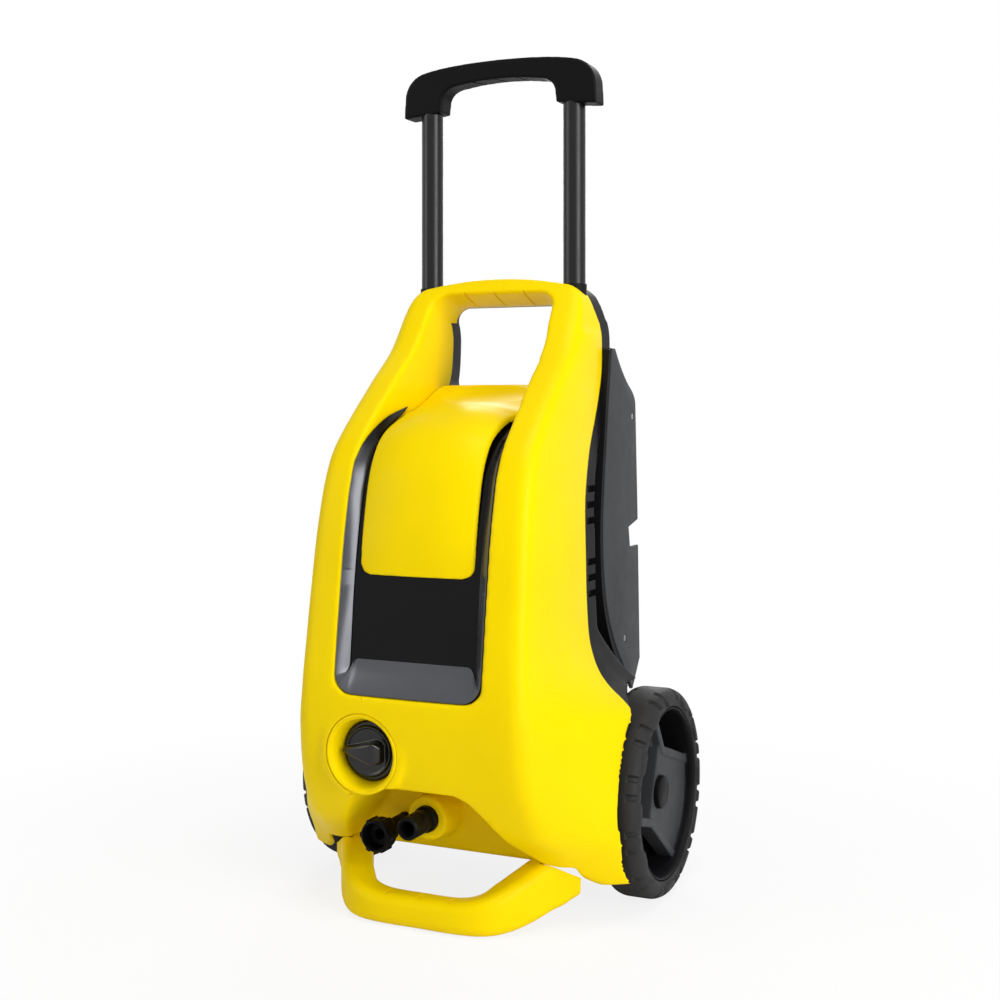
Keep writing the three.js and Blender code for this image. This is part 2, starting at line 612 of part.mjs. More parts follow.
// Liners round the front and top of the wheels, inside the front housing's skirts.
function wheelLiners() {
  const inner = WHEEL_RADIUS + WELL_CLEARANCE;
  const room = bodyForm(WALL + GAP, 60).subtract(wheelWells(inner, 0));
  const ring = wheelWells(inner + WALL, TUB_HALF - WALL).intersect(room);
  const behind = box(-200, 200, AXLE_BEHIND - 14, 200, -20, 260);
  return ring.subtract(behind).subtract(box(-200, 200, -300, 200, -20, SKIRT_BOTTOM + 2));
}

function axleBosses() {
  const [y, z] = [AXLE_BEHIND, WHEEL_RADIUS];
  const arm = (from, to) => rod("x", from, to, AXLE_BOSS_RADIUS, y, z, AXLE_BOSS_RADIUS, 16);
  return arm(TUB_HALF - 30, WHEEL_INNER - 2).add(arm(2 - WHEEL_INNER, 30 - TUB_HALF));
}

function lowerGuides() {
  const bottom = LOWER_GUIDE_TOP - LOWER_GUIDE_HEIGHT;
  const radius = TUBE_RADIUS + SLIDE_CLEARANCE + 2.2;
  const block = (side) => {
    const [near, far] = [side * TUBE_HALF_SPACING, side * (TUB_HALF - 1)];
    const web = box(Math.min(near, far), Math.max(near, far), -6, 6, bottom, LOWER_GUIDE_TOP);
    return rod("z", bottom, LOWER_GUIDE_TOP, radius, near, 0, radius, 12).add(web);
  };
  return block(-1).add(block(1));
}

function ventSlots() {
  let slots = null;
  VENT_CENTRES.forEach((middle) => {
    for (let i = 0; i < VENTS; i += 1) {
      const z = middle + (i - (VENTS - 1) / 2) * VENT_PITCH;
      const end = splineThrough(SEAM, z) + BAND + 1;
      [[-130, -VENT_DEPTH], [VENT_DEPTH, 130]].forEach(([from, to]) => {
        const slot = box(from, to, end - VENT_LENGTH, end, z - VENT_HEIGHT / 2, z + VENT_HEIGHT / 2);
        slots = slots ? slots.add(slot) : slot;
      });
    }
  });
  for (let i = 0; i < BACK_VENTS; i += 1) {
    const z = BACK_VENT_CENTRE + (i - (BACK_VENTS - 1) / 2) * BACK_VENT_PITCH;
    const half = BACK_VENT_LENGTH / 2;
    slots = slots.add(box(-half, half, TUB_BACK - 10, TUB_BACK + 5, z - VENT_HEIGHT / 2, z + VENT_HEIGHT / 2));
  }
  return slots;
}

function rearShell() {
  const inside = tub(WALL, -140).subtract(opening(OPENING_SILL, LIP_WALL).intersect(rearLipRegion()));
  const deep = tub(0, -75).subtract(box(-200, 200, -100, 60, -20, BODY_FLOOR));
  const shell = deep.add(band()).subtract(inside.subtract(lowerGuides()).subtract(axleBosses()));
  const [floorFront, floorBack] = [-ALCOVE_BACK + WALL + GAP, BASE_BACK - TUB_ROUND];
  const floor = box(1 - TUB_HALF, TUB_HALF - 1, floorFront, floorBack, BODY_FLOOR, BODY_FLOOR + WALL);
  const front = sidePrism(polygon(seamFront(GAP)), -200, 200);
  const lips = opening(OPENING_SILL, LIP_WALL).intersect(rearLipRegion()).intersect(tub(0, -75));
  let made = shell.subtract(front).add(lips).add(floor);
  made = made.add(lowerGuides()).add(axleBosses()).add(wheelLiners()).add(cheekLedges());
  made = made.subtract(opening(OPENING_SILL, 0)).subtract(ventSlots());
  made = made.subtract(tubeRoom(TUBE_RADIUS + SLIDE_CLEARANCE)).subtract(guideSeats());
  const axle = rod("x", -200, 200, AXLE_RADIUS + GAP, AXLE_BEHIND, WHEEL_RADIUS, AXLE_RADIUS + GAP, 16);
  return made.subtract(axle).subtract(cableGland());
}

// Ledges on the sides of the deep part, in front of the cheeks and under them.
function cheekLedges() {
  const moved = (dy, dz, inner) => sidePrism(cheekOutline(), inner, CHEEK_OUTER - 1, 4).translate([0, dy, dz]);
  const edge = moved(-LEDGE, -LEDGE / 2, TUB_HALF - 1).add(moved(-LEDGE, 0, TUB_HALF - 1));
  const room = moved(0, 0, TUB_HALF - 2).add(moved(-GAP, 0, TUB_HALF - 2)).add(moved(0, -GAP, TUB_HALF - 2));
  const ledge = edge.subtract(room).subtract(box(0, 200, LEDGE_BACK, 200, 100, 600));
  return ledge.add(ledge.mirror([1, 0, 0]));
}

// Everything in front of the seam in the side view, up to `gap` behind it.
function seamFront(gap) {
  const notch = [[COLLAR_STEP + gap, COLLAR_HEIGHT], [gap, SKY]];
  return [[-FAR, -10], ...seamLine(gap, COLLAR_HEIGHT), ...notch, [-FAR, SKY]];
}

function guideSeats() {
  return tubeRoom(TUBE_RADIUS + GUIDE_WALL + GAP, SHOULDER_HEIGHT - GUIDE_HEIGHT, SKY);
}

// The mains lead leaves through a plain hole low in the back wall.
function cableGland() {
  return rod("y", TUB_BACK, BASE_BACK + 5, 4.5, -60, 130);
}

// ---------------------------------------------------------------- bonnet, window, trim

const skinY = (x, z) => {
  const half = splineThrough(CORNER_HALF, z);
  return -splineThrough(CORNER_DEPTH, z) - FRONT_CROWN * (1 - (x / half) ** 2);
};
const windowY = (z) => -splineThrough(WINDOW_DEPTH, z);

function bonnetRings(sink, wall) {
  const curve = new THREE.SplineCurve(BONNET_PROFILE.map(([y, z]) => new THREE.Vector2(y, z)));
  return curve.getPoints(12).map((p, i, all) => {
    const [before, after] = [all[Math.max(i - 1, 0)], all[Math.min(i + 1, all.length - 1)]];
    const out = after.clone().sub(before).normalize().rotateAround(new THREE.Vector2(0, 0), Math.PI / 2);
    const half = Math.min(splineThrough(BONNET_HALF_LINE, p.x), openingHalf(p.x) - 1);
    const arc = (depth) => [-1, -0.88, -0.6, -0.2, 0.2, 0.6, 0.88, 1].map((share) => {
      const inward = depth + splineThrough(BONNET_DROOP, p.y) * Math.abs(share) ** 2.6;
      return point(share * half, p.x - out.x * inward, p.y - out.y * inward);
    });
    return [...arc(sink), ...arc(sink + wall).reverse()];
  });
}

// Front view of the bonnet, `grown` outside its edge.
function bonnetOutline(grown) {
  const shape = new THREE.Shape();
  const [half, low, round] = [BONNET_HALF + grown, BONNET_BOTTOM - grown, BONNET_ROUND];
  shape.moveTo(-half + round, low).lineTo(half - round, low).quadraticCurveTo(half, low, half, low + round);
  shape.lineTo(half, 440).lineTo(80, 452).lineTo(80, 520);
  shape.lineTo(-80, 520).lineTo(-80, 452).lineTo(-half, 440);
  shape.lineTo(-half, low + round).quadraticCurveTo(-half, low, -half + round, low);
  return frontPrism(shape, -260, 40, 4);
}

function bonnet() {
  const scoop = solid(new THREE.SphereGeometry(1, 14, 8)).scale([SCOOP_HALF, 34, SCOOP_DEPTH]);
  const skin = loft(bonnetRings(0, BONNET_WALL)).intersect(bonnetOutline(0));
  return skin.subtract(scoop.rotate([-20, 0, 0]).translate([0, -34, 486]));
}

// The glossy window, a curved panel between the inner walls of the recess.
function windowPanel() {
  const rings = [RECESS_BOTTOM + 4, ...TRIM_LEVELS].map((z) => {
    const half = openingHalf(windowY(z)) - 2 * GAP - (z < TRIM_LEVELS[0] ? 10 : 0);
    const [front, back] = [windowY(z), windowY(z) + WINDOW_WALL];
    const tilt = WINDOW_WALL * 0.5;
    const right = [point(half, front, z), point(half, back, z - tilt)];
    return [...right, point(-half, back, z - tilt), point(-half, front, z)];
  });
  return loft(rings).subtract(bonnetOutline(GAP));
}

// U-shaped bevelled trim: a wedge swept down one side of the window, round its foot and up the other.
function trimBezel() {
  const stations = [];
  const edge = (x, z, side, foot) => stations.push([x, z, side, foot]);
  [465, 457, ...TRIM_LEVELS.slice(1).reverse()].forEach((z) => {
    const narrow = Math.min(1, (468 - z) / 36);
    edge(openingHalf(windowY(z)) - GAP, z, TRIM_SIDE * narrow, 0);
  });
  const half = openingHalf(-200) - GAP;
  [0.25, 0.5, 0.75, 1].forEach((share) => {
    const turn = (share * Math.PI) / 2;
    const [round, foot] = [OPENING_ROUND + 2, RECESS_BOTTOM + 2 * GAP];
    const [x, z] = [half - round * (1 - Math.cos(turn)), foot + round * (1 - Math.sin(turn))];
    edge(x, z, TRIM_SIDE * Math.cos(turn) ** 1.5, TRIM_FOOT * Math.sin(turn) ** 1.5);
  });
  edge(half * 0.4, RECESS_BOTTOM + 2 * GAP, 0, TRIM_FOOT);
  const mirrored = stations.map(([x, z, side, foot]) => [-x, z, -side, foot]).reverse();
  return loft([...stations, ...mirrored].map(([x, z, side, foot]) => wedge(x, z, side, foot)));
}

function wedge(x, z, side, foot) {
  const [innerX, innerZ] = [x - side, z + foot];
  const horn = z > TRIM_HORN[0][0] ? -splineThrough(TRIM_HORN, z) : skinY(x, z) + TRIM_LIP;
  const seat = Math.min(windowY(innerZ), windowY(z)) - GAP;
  const front = Math.min(horn, seat - 1);
  const back = windowY(innerZ) - GAP;
  const lip = point(x - Math.sign(x || 1) * 0.8 * Math.sign(Math.abs(side)), front, z + (foot ? 0.8 : 0));
  const inner = [point(innerX, back - 0.8, innerZ), point(innerX, back, innerZ)];
  return [point(x, front, z), lip, ...inner, point(x, windowY(z) - GAP, z)];
}

// ---------------------------------------------------------------- storage cheeks

function cheekOutline() {
  const shape = new THREE.Shape();
  const rear = CHEEK_REAR;
  shape.moveTo(26, CHEEK_TOP - 2).lineTo(22, CHEEK_TOP - 26).quadraticCurveTo(14, 450, 4, 375);
  shape.quadraticCurveTo(-2, 330, 8, 285).quadraticCurveTo(20, 240, 55, 209).lineTo(84, 177);
  shape.lineTo(rear, 206).lineTo(rear - 5, NOTCH_BOTTOM).lineTo(rear - 5 - NOTCH_DEPTH + 4, NOTCH_BOTTOM);
  shape.lineTo(rear - 5 - NOTCH_DEPTH, NOTCH_TOP - 6).lineTo(rear - 6, NOTCH_TOP).lineTo(rear - 13, 468);
  shape.quadraticCurveTo(rear - 14, 476, 78, 484);
  shape.quadraticCurveTo(56, 496, 34, CHEEK_TOP).lineTo(26, CHEEK_TOP - 2);
  return shape;
}

// A side plate with a web behind the back wall and a stiffening return along its front edge.
function cheek(side) {
  const plate = sidePrism(cheekOutline(), CHEEK_OUTER - CHEEK_WALL, CHEEK_OUTER, 4);
  const flange = sidePrism(cheekOutline(), TUB_HALF + GAP, CHEEK_OUTER, 4);
  const core = box(TUB_HALF - 1, CHEEK_OUTER - CHEEK_WALL, -40, 200, 100, 600);
  const opened = flange.subtract(core).add(plate);
  const web = box(56, CHEEK_OUTER - 1, TUB_BACK + GAP, TUB_BACK + GAP + CHEEK_WALL, 306, 420);
  const bosses = [262, 390].map((z) => rod("x", TUB_HALF + GAP, CHEEK_OUTER - 1, 6, 31, z, 6, 16));
  const whole = bosses.reduce((sum, boss) => sum.add(boss), opened.add(web));
  return side > 0 ? whole : whole.mirror([1, 0, 0]);
}

// Floor of the bay between the cheeks, with an upturned lip at the back.
function storageTray() {
  const [front, back, half] = [SHELF_FRONT + GAP, CHEEK_REAR - 14, CHEEK_OUTER - CHEEK_WALL - GAP];
  const [low, high] = [SHELF_HEIGHT - SHELF_THICKNESS, SHELF_HEIGHT];
  const plate = box(-half, half, front, back, low, high);
  const lip = box(-half, half, back - SHELF_THICKNESS, back, high - 1, high + 12);
  const drains = [-60, 0, 60].map((x) => box(x - 15, x + 15, front + 9, front + 15, low - 1, high + 1));
  return drains.reduce((sum, slot) => sum.subtract(slot), plate.add(lip));
}

// ---------------------------------------------------------------- switch

function dial() {
  const [x, z, r] = [SWITCH_X, SWITCH_Z, DIAL_RADIUS];
  const disc = turned("y", [[0, -DIAL_FRONT + DIAL_THICKNESS - GAP], [r, -DIAL_FRONT + DIAL_THICKNESS - GAP],
    [r, -DIAL_FRONT + 1], [r - 1, -DIAL_FRONT - 0.8], [r - 2.5, -DIAL_FRONT - 0.8], [r - 3.5, -DIAL_FRONT + 0.6],
    [0, -DIAL_FRONT + 0.6]], x, z);
  const spindle = rod("y", -DIAL_FRONT + 2, -152, SPINDLE_RADIUS, x, z, SPINDLE_RADIUS, 20);
  return disc.add(pointer()).add(spindle);
}

// Wedge-shaped finger grip that tapers towards the mark it points at.
function pointer() {
  const [tip, tail] = [-DIAL_RADIUS + 1, DIAL_RADIUS - 5];
  const ring = (x, half, height) => {
    const [front, back] = [-DIAL_FRONT - height, -DIAL_FRONT + 2];
    const middle = point(SWITCH_X + x, (front + back) / 2, SWITCH_Z);
    return roundedRing(middle, point(0, 0, 1), point(0, 1, 0), 2 * half, back - front, 2, 3);
  };
  const thick = [ring(-8, 6, POINTER_HEIGHT - 2), ring(tail - 6, 10.5, POINTER_HEIGHT)];
  return loft([ring(tip, 2.6, 5), ...thick, ring(tail, 10, 7)]);
}

function switchBox() {
  const block = box(SWITCH_X - 22, SWITCH_X + 22, -150, -128, SWITCH_Z - 26, SWITCH_Z + 26);
  const neck = rod("y", -DIAL_FRONT + DIAL_THICKNESS + BOWL_WALL + GAP, -149, 12, SWITCH_X, SWITCH_Z);
  const bore = rod("y", -200, -140, SPINDLE_RADIUS + GAP, SWITCH_X, SWITCH_Z, SPINDLE_RADIUS + GAP, 20);
  return block.add(neck).subtract(bore);
}

// ---------------------------------------------------------------- water connections

// High-pressure outlet: a collar, a nipple with a lead-in and a through bore.
function outlet() {
  const [r, tip] = [OUTLET_RADIUS, OUTLET_TIP];
  const profile = [
    [OUTLET_BORE, -112], [COLLAR_RADIUS, -112], [COLLAR_RADIUS, -BOSS_FRONT - 5], [r - 0.8, -BOSS_FRONT - 6],
    [r - 0.8, -BOSS_FRONT - 10], [r, -BOSS_FRONT - 11], [r, -tip + 1.5], [r - 1.2, -tip], [OUTLET_BORE + 1, -tip],
    [OUTLET_BORE, -tip + 3],
  ];
  return turned("y", profile, OUTLET_X, OUTLET_Z, 20);
}

function inletSpigot() {
  const profile = [
    [SPIGOT_BORE, -108], [SPIGOT_RADIUS, -108], [SPIGOT_RADIUS, -NUT_FRONT + 14],
    [SPIGOT_RADIUS + 2, -NUT_FRONT + 14], [SPIGOT_RADIUS + 2, -NUT_FRONT + 10], [SPIGOT_BORE, -NUT_FRONT + 10],
  ];
  return turned("y", profile, INLET_X, INLET_Z, 16);
}

// Ribbed union nut that turns freely on the inlet spigot's shoulder.
function inletNut() {
  const [front, back] = [-NUT_FRONT, -NUT_FRONT + NUT_LENGTH];
  const lip = SPIGOT_RADIUS + GAP;
  const profile = [
    [SPIGOT_RADIUS + 4, front], [NUT_RADIUS - 1, front], [NUT_RADIUS, front + 1.5], [NUT_RADIUS, back - 9],
    [NUT_RADIUS - 3, back - 7], [NUT_RADIUS - 4, back], [lip, back], [lip, front + 14 + GAP],
    [SPIGOT_RADIUS + 4, front + 14 + GAP],
  ];
  let nut = turned("y", profile, INLET_X, INLET_Z, 18);
  for (let i = 0; i < NUT_RIBS; i += 1) {
    const turn = (i / NUT_RIBS) * 2 * Math.PI;
    const rib = box(-3, 3, front + 1, back - 9, NUT_RADIUS - 1, NUT_RADIUS + 1.6);
    nut = nut.add(rib.rotate([0, (turn * 180) / Math.PI, 0]).translate([INLET_X, 0, INLET_Z]));
  }
  return nut;
}

// ---------------------------------------------------------------- foot bar

// Carrying bar and front foot: a rounded bar swept round a U, rising and sweeping back into the housing.
function footBar() {
  const left = FOOT_PATH.slice(1).map(([x, ahead, low, high]) => [-x, ahead, low, high]).reverse();
  const path = [...left, ...FOOT_PATH];
  const route = path.map(([x, ahead]) => point(x, -ahead, 0));
  const curve = new THREE.CatmullRomCurve3(route, false, "centripetal");
  const rings = path.map(([x, ahead, low, high], i) => {
    const along = curve.getTangent(i / (path.length - 1));
    const across = point(along.y, -along.x, 0).normalize();
    const middle = point(x, -ahead, (low + high) / 2);
    return roundedRing(middle, across, point(0, 0, 1), FOOT_WIDTH, high - low, FOOT_ROUND, 3);
  });
  const bar = loft(rings);
  return bar.subtract(bodyForm(-GAP, 60).subtract(underRoom())).subtract(footGrooves());
}

// What lies under the housing, where the bar's legs may rise.
function underRoom() {
  return underside(GAP).add(alcove(-GAP, -ALCOVE_BACK - GAP));
}

function footGrooves() {
  let grooves = null;
  for (let i = 0; i < GRIP_GROOVES; i += 1) {
    const x = (i - (GRIP_GROOVES - 1) / 2) * GROOVE_PITCH;
    const bar = new THREE.CylinderGeometry(GROOVE_RADIUS, GROOVE_RADIUS, FOOT_WIDTH * 0.7, 8);
    const placed = solid(bar.translate(x, -FOOT_PATH[0][1], FOOT_PATH[0][3] + 0.3));
    grooves = grooves ? grooves.add(placed) : placed;
  }
  return grooves;
}

// ---------------------------------------------------------------- pull handle

function handleTube(side) {
  const x = side * TUBE_HALF_SPACING;
  const bottom = LOWER_GUIDE_TOP - LOWER_GUIDE_HEIGHT - STOP_HEIGHT - GAP;
  const bore = TUBE_RADIUS - TUBE_WALL;
  const profile = [[bore, bottom], [TUBE_RADIUS, bottom], [TUBE_RADIUS, TUBE_TOP], [bore, TUBE_TOP]];
  return turned("z", profile, x, 0, TUBE_FACETS);
}

// Collar pinned round the lower end of a tube; it stops the handle at the lower guide.
function tubeStop(side) {
  const top = LOWER_GUIDE_TOP - LOWER_GUIDE_HEIGHT - GAP;
  const [inner, outer] = [TUBE_RADIUS + GAP, TUBE_RADIUS + STOP_WALL];
  const profile = [[inner, top - STOP_HEIGHT], [outer, top - STOP_HEIGHT], [outer, top], [inner, top]];
  return turned("z", profile, side * TUBE_HALF_SPACING, 0, TUBE_FACETS);
}

// Guide bush let into the top of the body round each tube.
function tubeGuide(side) {
  const [inner, outer] = [TUBE_RADIUS + SLIDE_CLEARANCE, TUBE_RADIUS + GUIDE_WALL];
  const [low, high] = [SHOULDER_HEIGHT - GUIDE_HEIGHT + GAP, SHOULDER_HEIGHT];
  const profile = [[inner, low], [outer, low], [outer, high], [inner, high]];
  return turned("z", profile, side * TUBE_HALF_SPACING, 0, TUBE_FACETS);
}

// Arched grip with down-turned ends that sit over the tubes.
function gripArch() {
  const shape = new THREE.Shape();
  const [half, low, high] = [HANDLE_HALF, HANDLE_BOTTOM, HANDLE_TOP];
  const [gapHalf, gapTop] = [HAND_GAP_HALF, HAND_GAP_TOP];
  shape.moveTo(-half, low).lineTo(-half + 1, low + 22);
  shape.quadraticCurveTo(-half + 4, high - 12, -half + 20, high - 7);
  shape.quadraticCurveTo(-60, high - 0.5, 0, high).quadraticCurveTo(60, high - 0.5, half - 20, high - 7);
  shape.quadraticCurveTo(half - 4, high - 12, half - 1, low + 22).lineTo(half, low);
  shape.lineTo(gapHalf + 1, low + 4).lineTo(gapHalf, gapTop - 16);
  shape.quadraticCurveTo(gapHalf - 2, gapTop - 3, gapHalf - 20, gapTop - 2);
  shape.quadraticCurveTo(0, gapTop + 4, 20 - gapHalf, gapTop - 2);
  shape.quadraticCurveTo(2 - gapHalf, gapTop - 3, -gapHalf, gapTop - 16);
  shape.lineTo(-gapHalf - 1, low + 4).lineTo(-half, low);
  const bevel = 3;
  const geometry = new THREE.ExtrudeGeometry(shape, {
    depth: HANDLE_DEPTH - 2 * bevel, curveSegments: 5, bevelEnabled: true, bevelSegments: 1,
    bevelThickness: bevel, bevelSize: bevel, bevelOffset: -bevel,
  });
  return solid(geometry.rotateX(Math.PI / 2).translate(0, HANDLE_DEPTH / 2 - bevel, 0));
}

function grip() {
  const sockets = tubeRoom(TUBE_RADIUS + GAP, HANDLE_BOTTOM - 5, TUBE_TOP + GAP);
  let made = gripArch().subtract(sockets);
  for (let i = 0; i < GRIP_GROOVES; i += 1) {
    const x = (i - (GRIP_GROOVES - 1) / 2) * GROOVE_PITCH * 0.8;
    const groove = new THREE.CylinderGeometry(GROOVE_RADIUS, GROOVE_RADIUS, HANDLE_DEPTH + 4, 8).rotateZ(0.35);
    made = made.subtract(solid(groove.translate(x, 0, HAND_GAP_TOP + 0.6)));
  }
  return made;
}

// ---------------------------------------------------------------- wheels (modelled for the right side)

function tyre() {
  const [r, inner, outer] = [WHEEL_RADIUS, WHEEL_INNER, WHEEL_OUTER];
  const [y, z] = [AXLE_BEHIND, WHEEL_RADIUS];
  const seat = RIM_RADIUS + GAP;
  const [middle, deep] = [(inner + outer) / 2, r - 2.5];
  const profile = [
    [seat, inner + 2], [r - 6, inner], [r, inner + 6], [r, middle - 3], [deep, middle - 3], [deep, middle + 3],
    [r, middle + 3], [r, outer - 6], [r - 6, outer], [seat, outer - 2],
  ];
  let made = turned("x", profile, y, z, WHEEL_FACETS);
  for (let i = 0; i < LUGS; i += 1) {
    const turn = (i * 360) / LUGS;
    const notch = box(outer - 16, outer + 1, -2.5, 2.5, r - TREAD_DEPTH, r + 5);
    made = made.subtract(notch.rotate([turn, 0, 0]).translate([0, y, z]));
  }
  return made;
}

// Openings on either side of the rim's bridge, in the wheel's own plane, each with a kinked inner edge.
const RIM_OPENINGS = [[[49, -60], [12, -41], [-54, -55]], [[-63, 45], [9, 37], [57, 49]]];
const BRIDGE_TURN = 150; // degrees from the rear, upwards and forwards

function bridge(radius, narrowed, from, to) {
  let plate = rod("x", from, to, radius, 0, 0, radius, WHEEL_FACETS);
  RIM_OPENINGS.forEach((edge) => {
    const sign = Math.sign(edge[1][1]);
    const inner = edge.map(([u, v]) => [u, v - sign * narrowed]);
    const outer = [[inner[2][0], sign * 120], [inner[0][0], sign * 120]];
    plate = plate.subtract(sidePrism(polygon([...inner, ...outer]), from - 1, to + 1));
  });
  return plate;
}

// Rim with a dished middle, two curved openings and a raised bridge between them.
function rim() {
  const [y, z] = [AXLE_BEHIND, WHEEL_RADIUS];
  const [inner, outer] = [WHEEL_INNER + 4, WHEEL_OUTER - 3];
  const hoop = turned("x", [[RIM_RADIUS - RIM_WALL, inner], [RIM_RADIUS, inner], [RIM_RADIUS, outer],
    [RIM_RADIUS - RIM_WALL, outer]], y, z, WHEEL_FACETS);
  const web = bridge(RIM_RADIUS - 1, 0, outer - 20, outer - 13);
  const raised = bridge(54, 8, outer - 14, outer - 8);
  const faces = web.add(raised).rotate([BRIDGE_TURN, 0, 0]).translate([0, y, z]);
  const hub = rod("x", WHEEL_INNER - 2 + GAP, outer - 9, HUB_RADIUS, y, z, HUB_RADIUS, 16);
  const bore = rod("x", inner - 15, outer + 5, AXLE_RADIUS + GAP, y, z, AXLE_RADIUS + GAP, 16);
  const seat = rod("x", outer - 11, outer + 5, CAP_RADIUS + GAP, y, z, CAP_RADIUS + GAP, 16);
  return hoop.add(faces).add(hub).subtract(seat).subtract(bore);
}

// Push-on cap that keeps the wheel on its axle.
function hubCap() {
  const [low, high] = [WHEEL_OUTER - 14 + GAP, WHEEL_OUTER - 8];
  const profile = [[0, low + 3], [AXLE_RADIUS + GAP, low + 3], [AXLE_RADIUS + GAP, low], [CAP_RADIUS, low],
    [CAP_RADIUS, high - 1.5], [CAP_RADIUS - 2, high], [0, high]];
  return turned("x", profile, AXLE_BEHIND, WHEEL_RADIUS, 16);
}

function axle() {
  const end = WHEEL_OUTER - 14 + 3;
  return rod("x", -end, end, AXLE_RADIUS, AXLE_BEHIND, WHEEL_RADIUS, AXLE_RADIUS, 16);
}

// ---------------------------------------------------------------- motor and pump, stacked upright

const HEAD_BOTTOM = BODY_FLOOR + WALL + GAP;
const HEAD_TOP = HEAD_BOTTOM + PUMP_HEAD_HEIGHT;
const HOUSING_BOTTOM = HEAD_TOP + GAP;
const HOUSING_TOP = HOUSING_BOTTOM + PUMP_HOUSING_HEIGHT;
const CAN_BOTTOM = HOUSING_TOP + GAP;
const CAN_TOP = CAN_BOTTOM + MOTOR_HEIGHT;
const SHIELD_TOP = CAN_TOP + GAP + END_SHIELD_HEIGHT;
const SWASH_Z = HEAD_TOP + 26;
const SWASH_TILT = 6;
const SWASH_THICKNESS = 8;

const pistonPlace = (i) => {
  const turn = (i / PISTONS) * 2 * Math.PI + Math.PI / 2;
  return [PISTON_CIRCLE * Math.cos(turn), DRIVE_Y + PISTON_CIRCLE * Math.sin(turn)];
};

// Aluminium head with the cylinder bores and the two water ports.
function pumpHead() {
  const front = -112 + GAP;
  let head = box(-PUMP_HEAD_HALF, PUMP_HEAD_HALF, front, DRIVE_Y + PUMP_HEAD_HALF, HEAD_BOTTOM, HEAD_TOP);
  head = head.add(box(INLET_X - 11, -PUMP_HEAD_HALF + 1, -108 + GAP, -84, HEAD_BOTTOM, INLET_Z + 11));
  for (let i = 0; i < PISTONS; i += 1) {
    const [x, y] = pistonPlace(i);
    const cylinder = PISTON_RADIUS + GAP;
    head = head.subtract(rod("z", HEAD_TOP - 24, HEAD_TOP + 5, cylinder, x, y, cylinder, 16));
  }
  const outletPort = rod("y", -120, -100, OUTLET_BORE, OUTLET_X, OUTLET_Z);
  const inletPort = rod("y", -120, -96, SPIGOT_BORE, INLET_X, INLET_Z);
  return head.subtract(outletPort).subtract(inletPort);
}

function piston(i) {
  const [x, y] = pistonPlace(i);
  const dip = (PISTON_CIRCLE + PISTON_RADIUS) * Math.tan((SWASH_TILT * Math.PI) / 180);
  const top = SWASH_Z - SWASH_THICKNESS / 2 - dip - 2 * GAP;
  return rod("z", HEAD_TOP - 20, top, PISTON_RADIUS, x, y, PISTON_RADIUS, 16);
}

function pumpHousing() {
  const [r, low, high] = [PUMP_HOUSING_RADIUS, HOUSING_BOTTOM, HOUSING_TOP];
  const bore = SHAFT_RADIUS + GAP;
  const profile = [[r - 5, low], [r, low], [r, high - 4], [r + 3, high - 4], [r + 3, high], [bore, high],
    [bore, high - 5], [r - 5, high - 5]];
  return turned("z", profile, 0, DRIVE_Y, DRIVE_FACETS);
}

function motorCan() {
  const [r, low, high] = [MOTOR_RADIUS, CAN_BOTTOM, CAN_TOP];
  let can = turned("z", [[r - 16, low], [r, low], [r, high], [r - 16, high]], 0, DRIVE_Y, DRIVE_FACETS);
  for (let i = 0; i < MOTOR_RIBS; i += 1) {
    const rib = box(-1.5, 1.5, r - 1, r + 3, low + 12, high - 12).rotate([0, 0, (i * 360) / MOTOR_RIBS]);
    can = can.add(rib.translate([0, DRIVE_Y, 0]));
  }
  return can;
}

function endShield() {
  const [r, low, high] = [MOTOR_RADIUS, CAN_TOP + GAP, SHIELD_TOP];
  const bore = SHAFT_RADIUS + GAP;
  return turned("z", [[bore, high - 6], [bore, high], [bore + 9, high], [r - 8, low + 6], [r, low + 6], [r, low],
    [r - 10, low], [bore + 7, high - 6]], 0, DRIVE_Y, DRIVE_FACETS);
}

// Shaft with the rotor core in the motor.
function rotor() {
  const [low, high] = [SWASH_Z + SWASH_THICKNESS, SHIELD_TOP + FAN_HEIGHT];
  const shaft = rod("z", low, high, SHAFT_RADIUS, 0, DRIVE_Y, SHAFT_RADIUS, DRIVE_FACETS);
  return shaft.add(rod("z", CAN_BOTTOM + 22, CAN_TOP - 22, MOTOR_RADIUS - 17, 0, DRIVE_Y));
}

// Tilted plate that drives the pistons.
function swashPlate() {
  const half = SWASH_THICKNESS / 2;
  const plate = rod("z", -half, half, SWASH_RADIUS, 0, 0).rotate([SWASH_TILT, 0, 0]);
  const hub = rod("z", 0, SWASH_THICKNESS - GAP, SHAFT_RADIUS + 5, 0, 0, SHAFT_RADIUS + 5, 24);
  return plate.add(hub).translate([0, DRIVE_Y, SWASH_Z]);
}

function coolingFan() {
  const low = SHIELD_TOP + GAP + 0.7;
  let fan = turned("z", [[SHAFT_RADIUS + GAP, low], [FAN_RADIUS, low], [FAN_RADIUS, low + 2], [13, low + 2],
    [13, low + FAN_HEIGHT], [SHAFT_RADIUS + GAP, low + FAN_HEIGHT]], 0, DRIVE_Y, DRIVE_FACETS);
  for (let i = 0; i < FAN_BLADES; i += 1) {
    const blade = box(-1, 1, 11, FAN_RADIUS - 1, low + 1, low + FAN_HEIGHT);
    fan = fan.add(blade.rotate([0, 0, (i * 360) / FAN_BLADES]).translate([0, DRIVE_Y, 0]));
  }
  return fan;
}

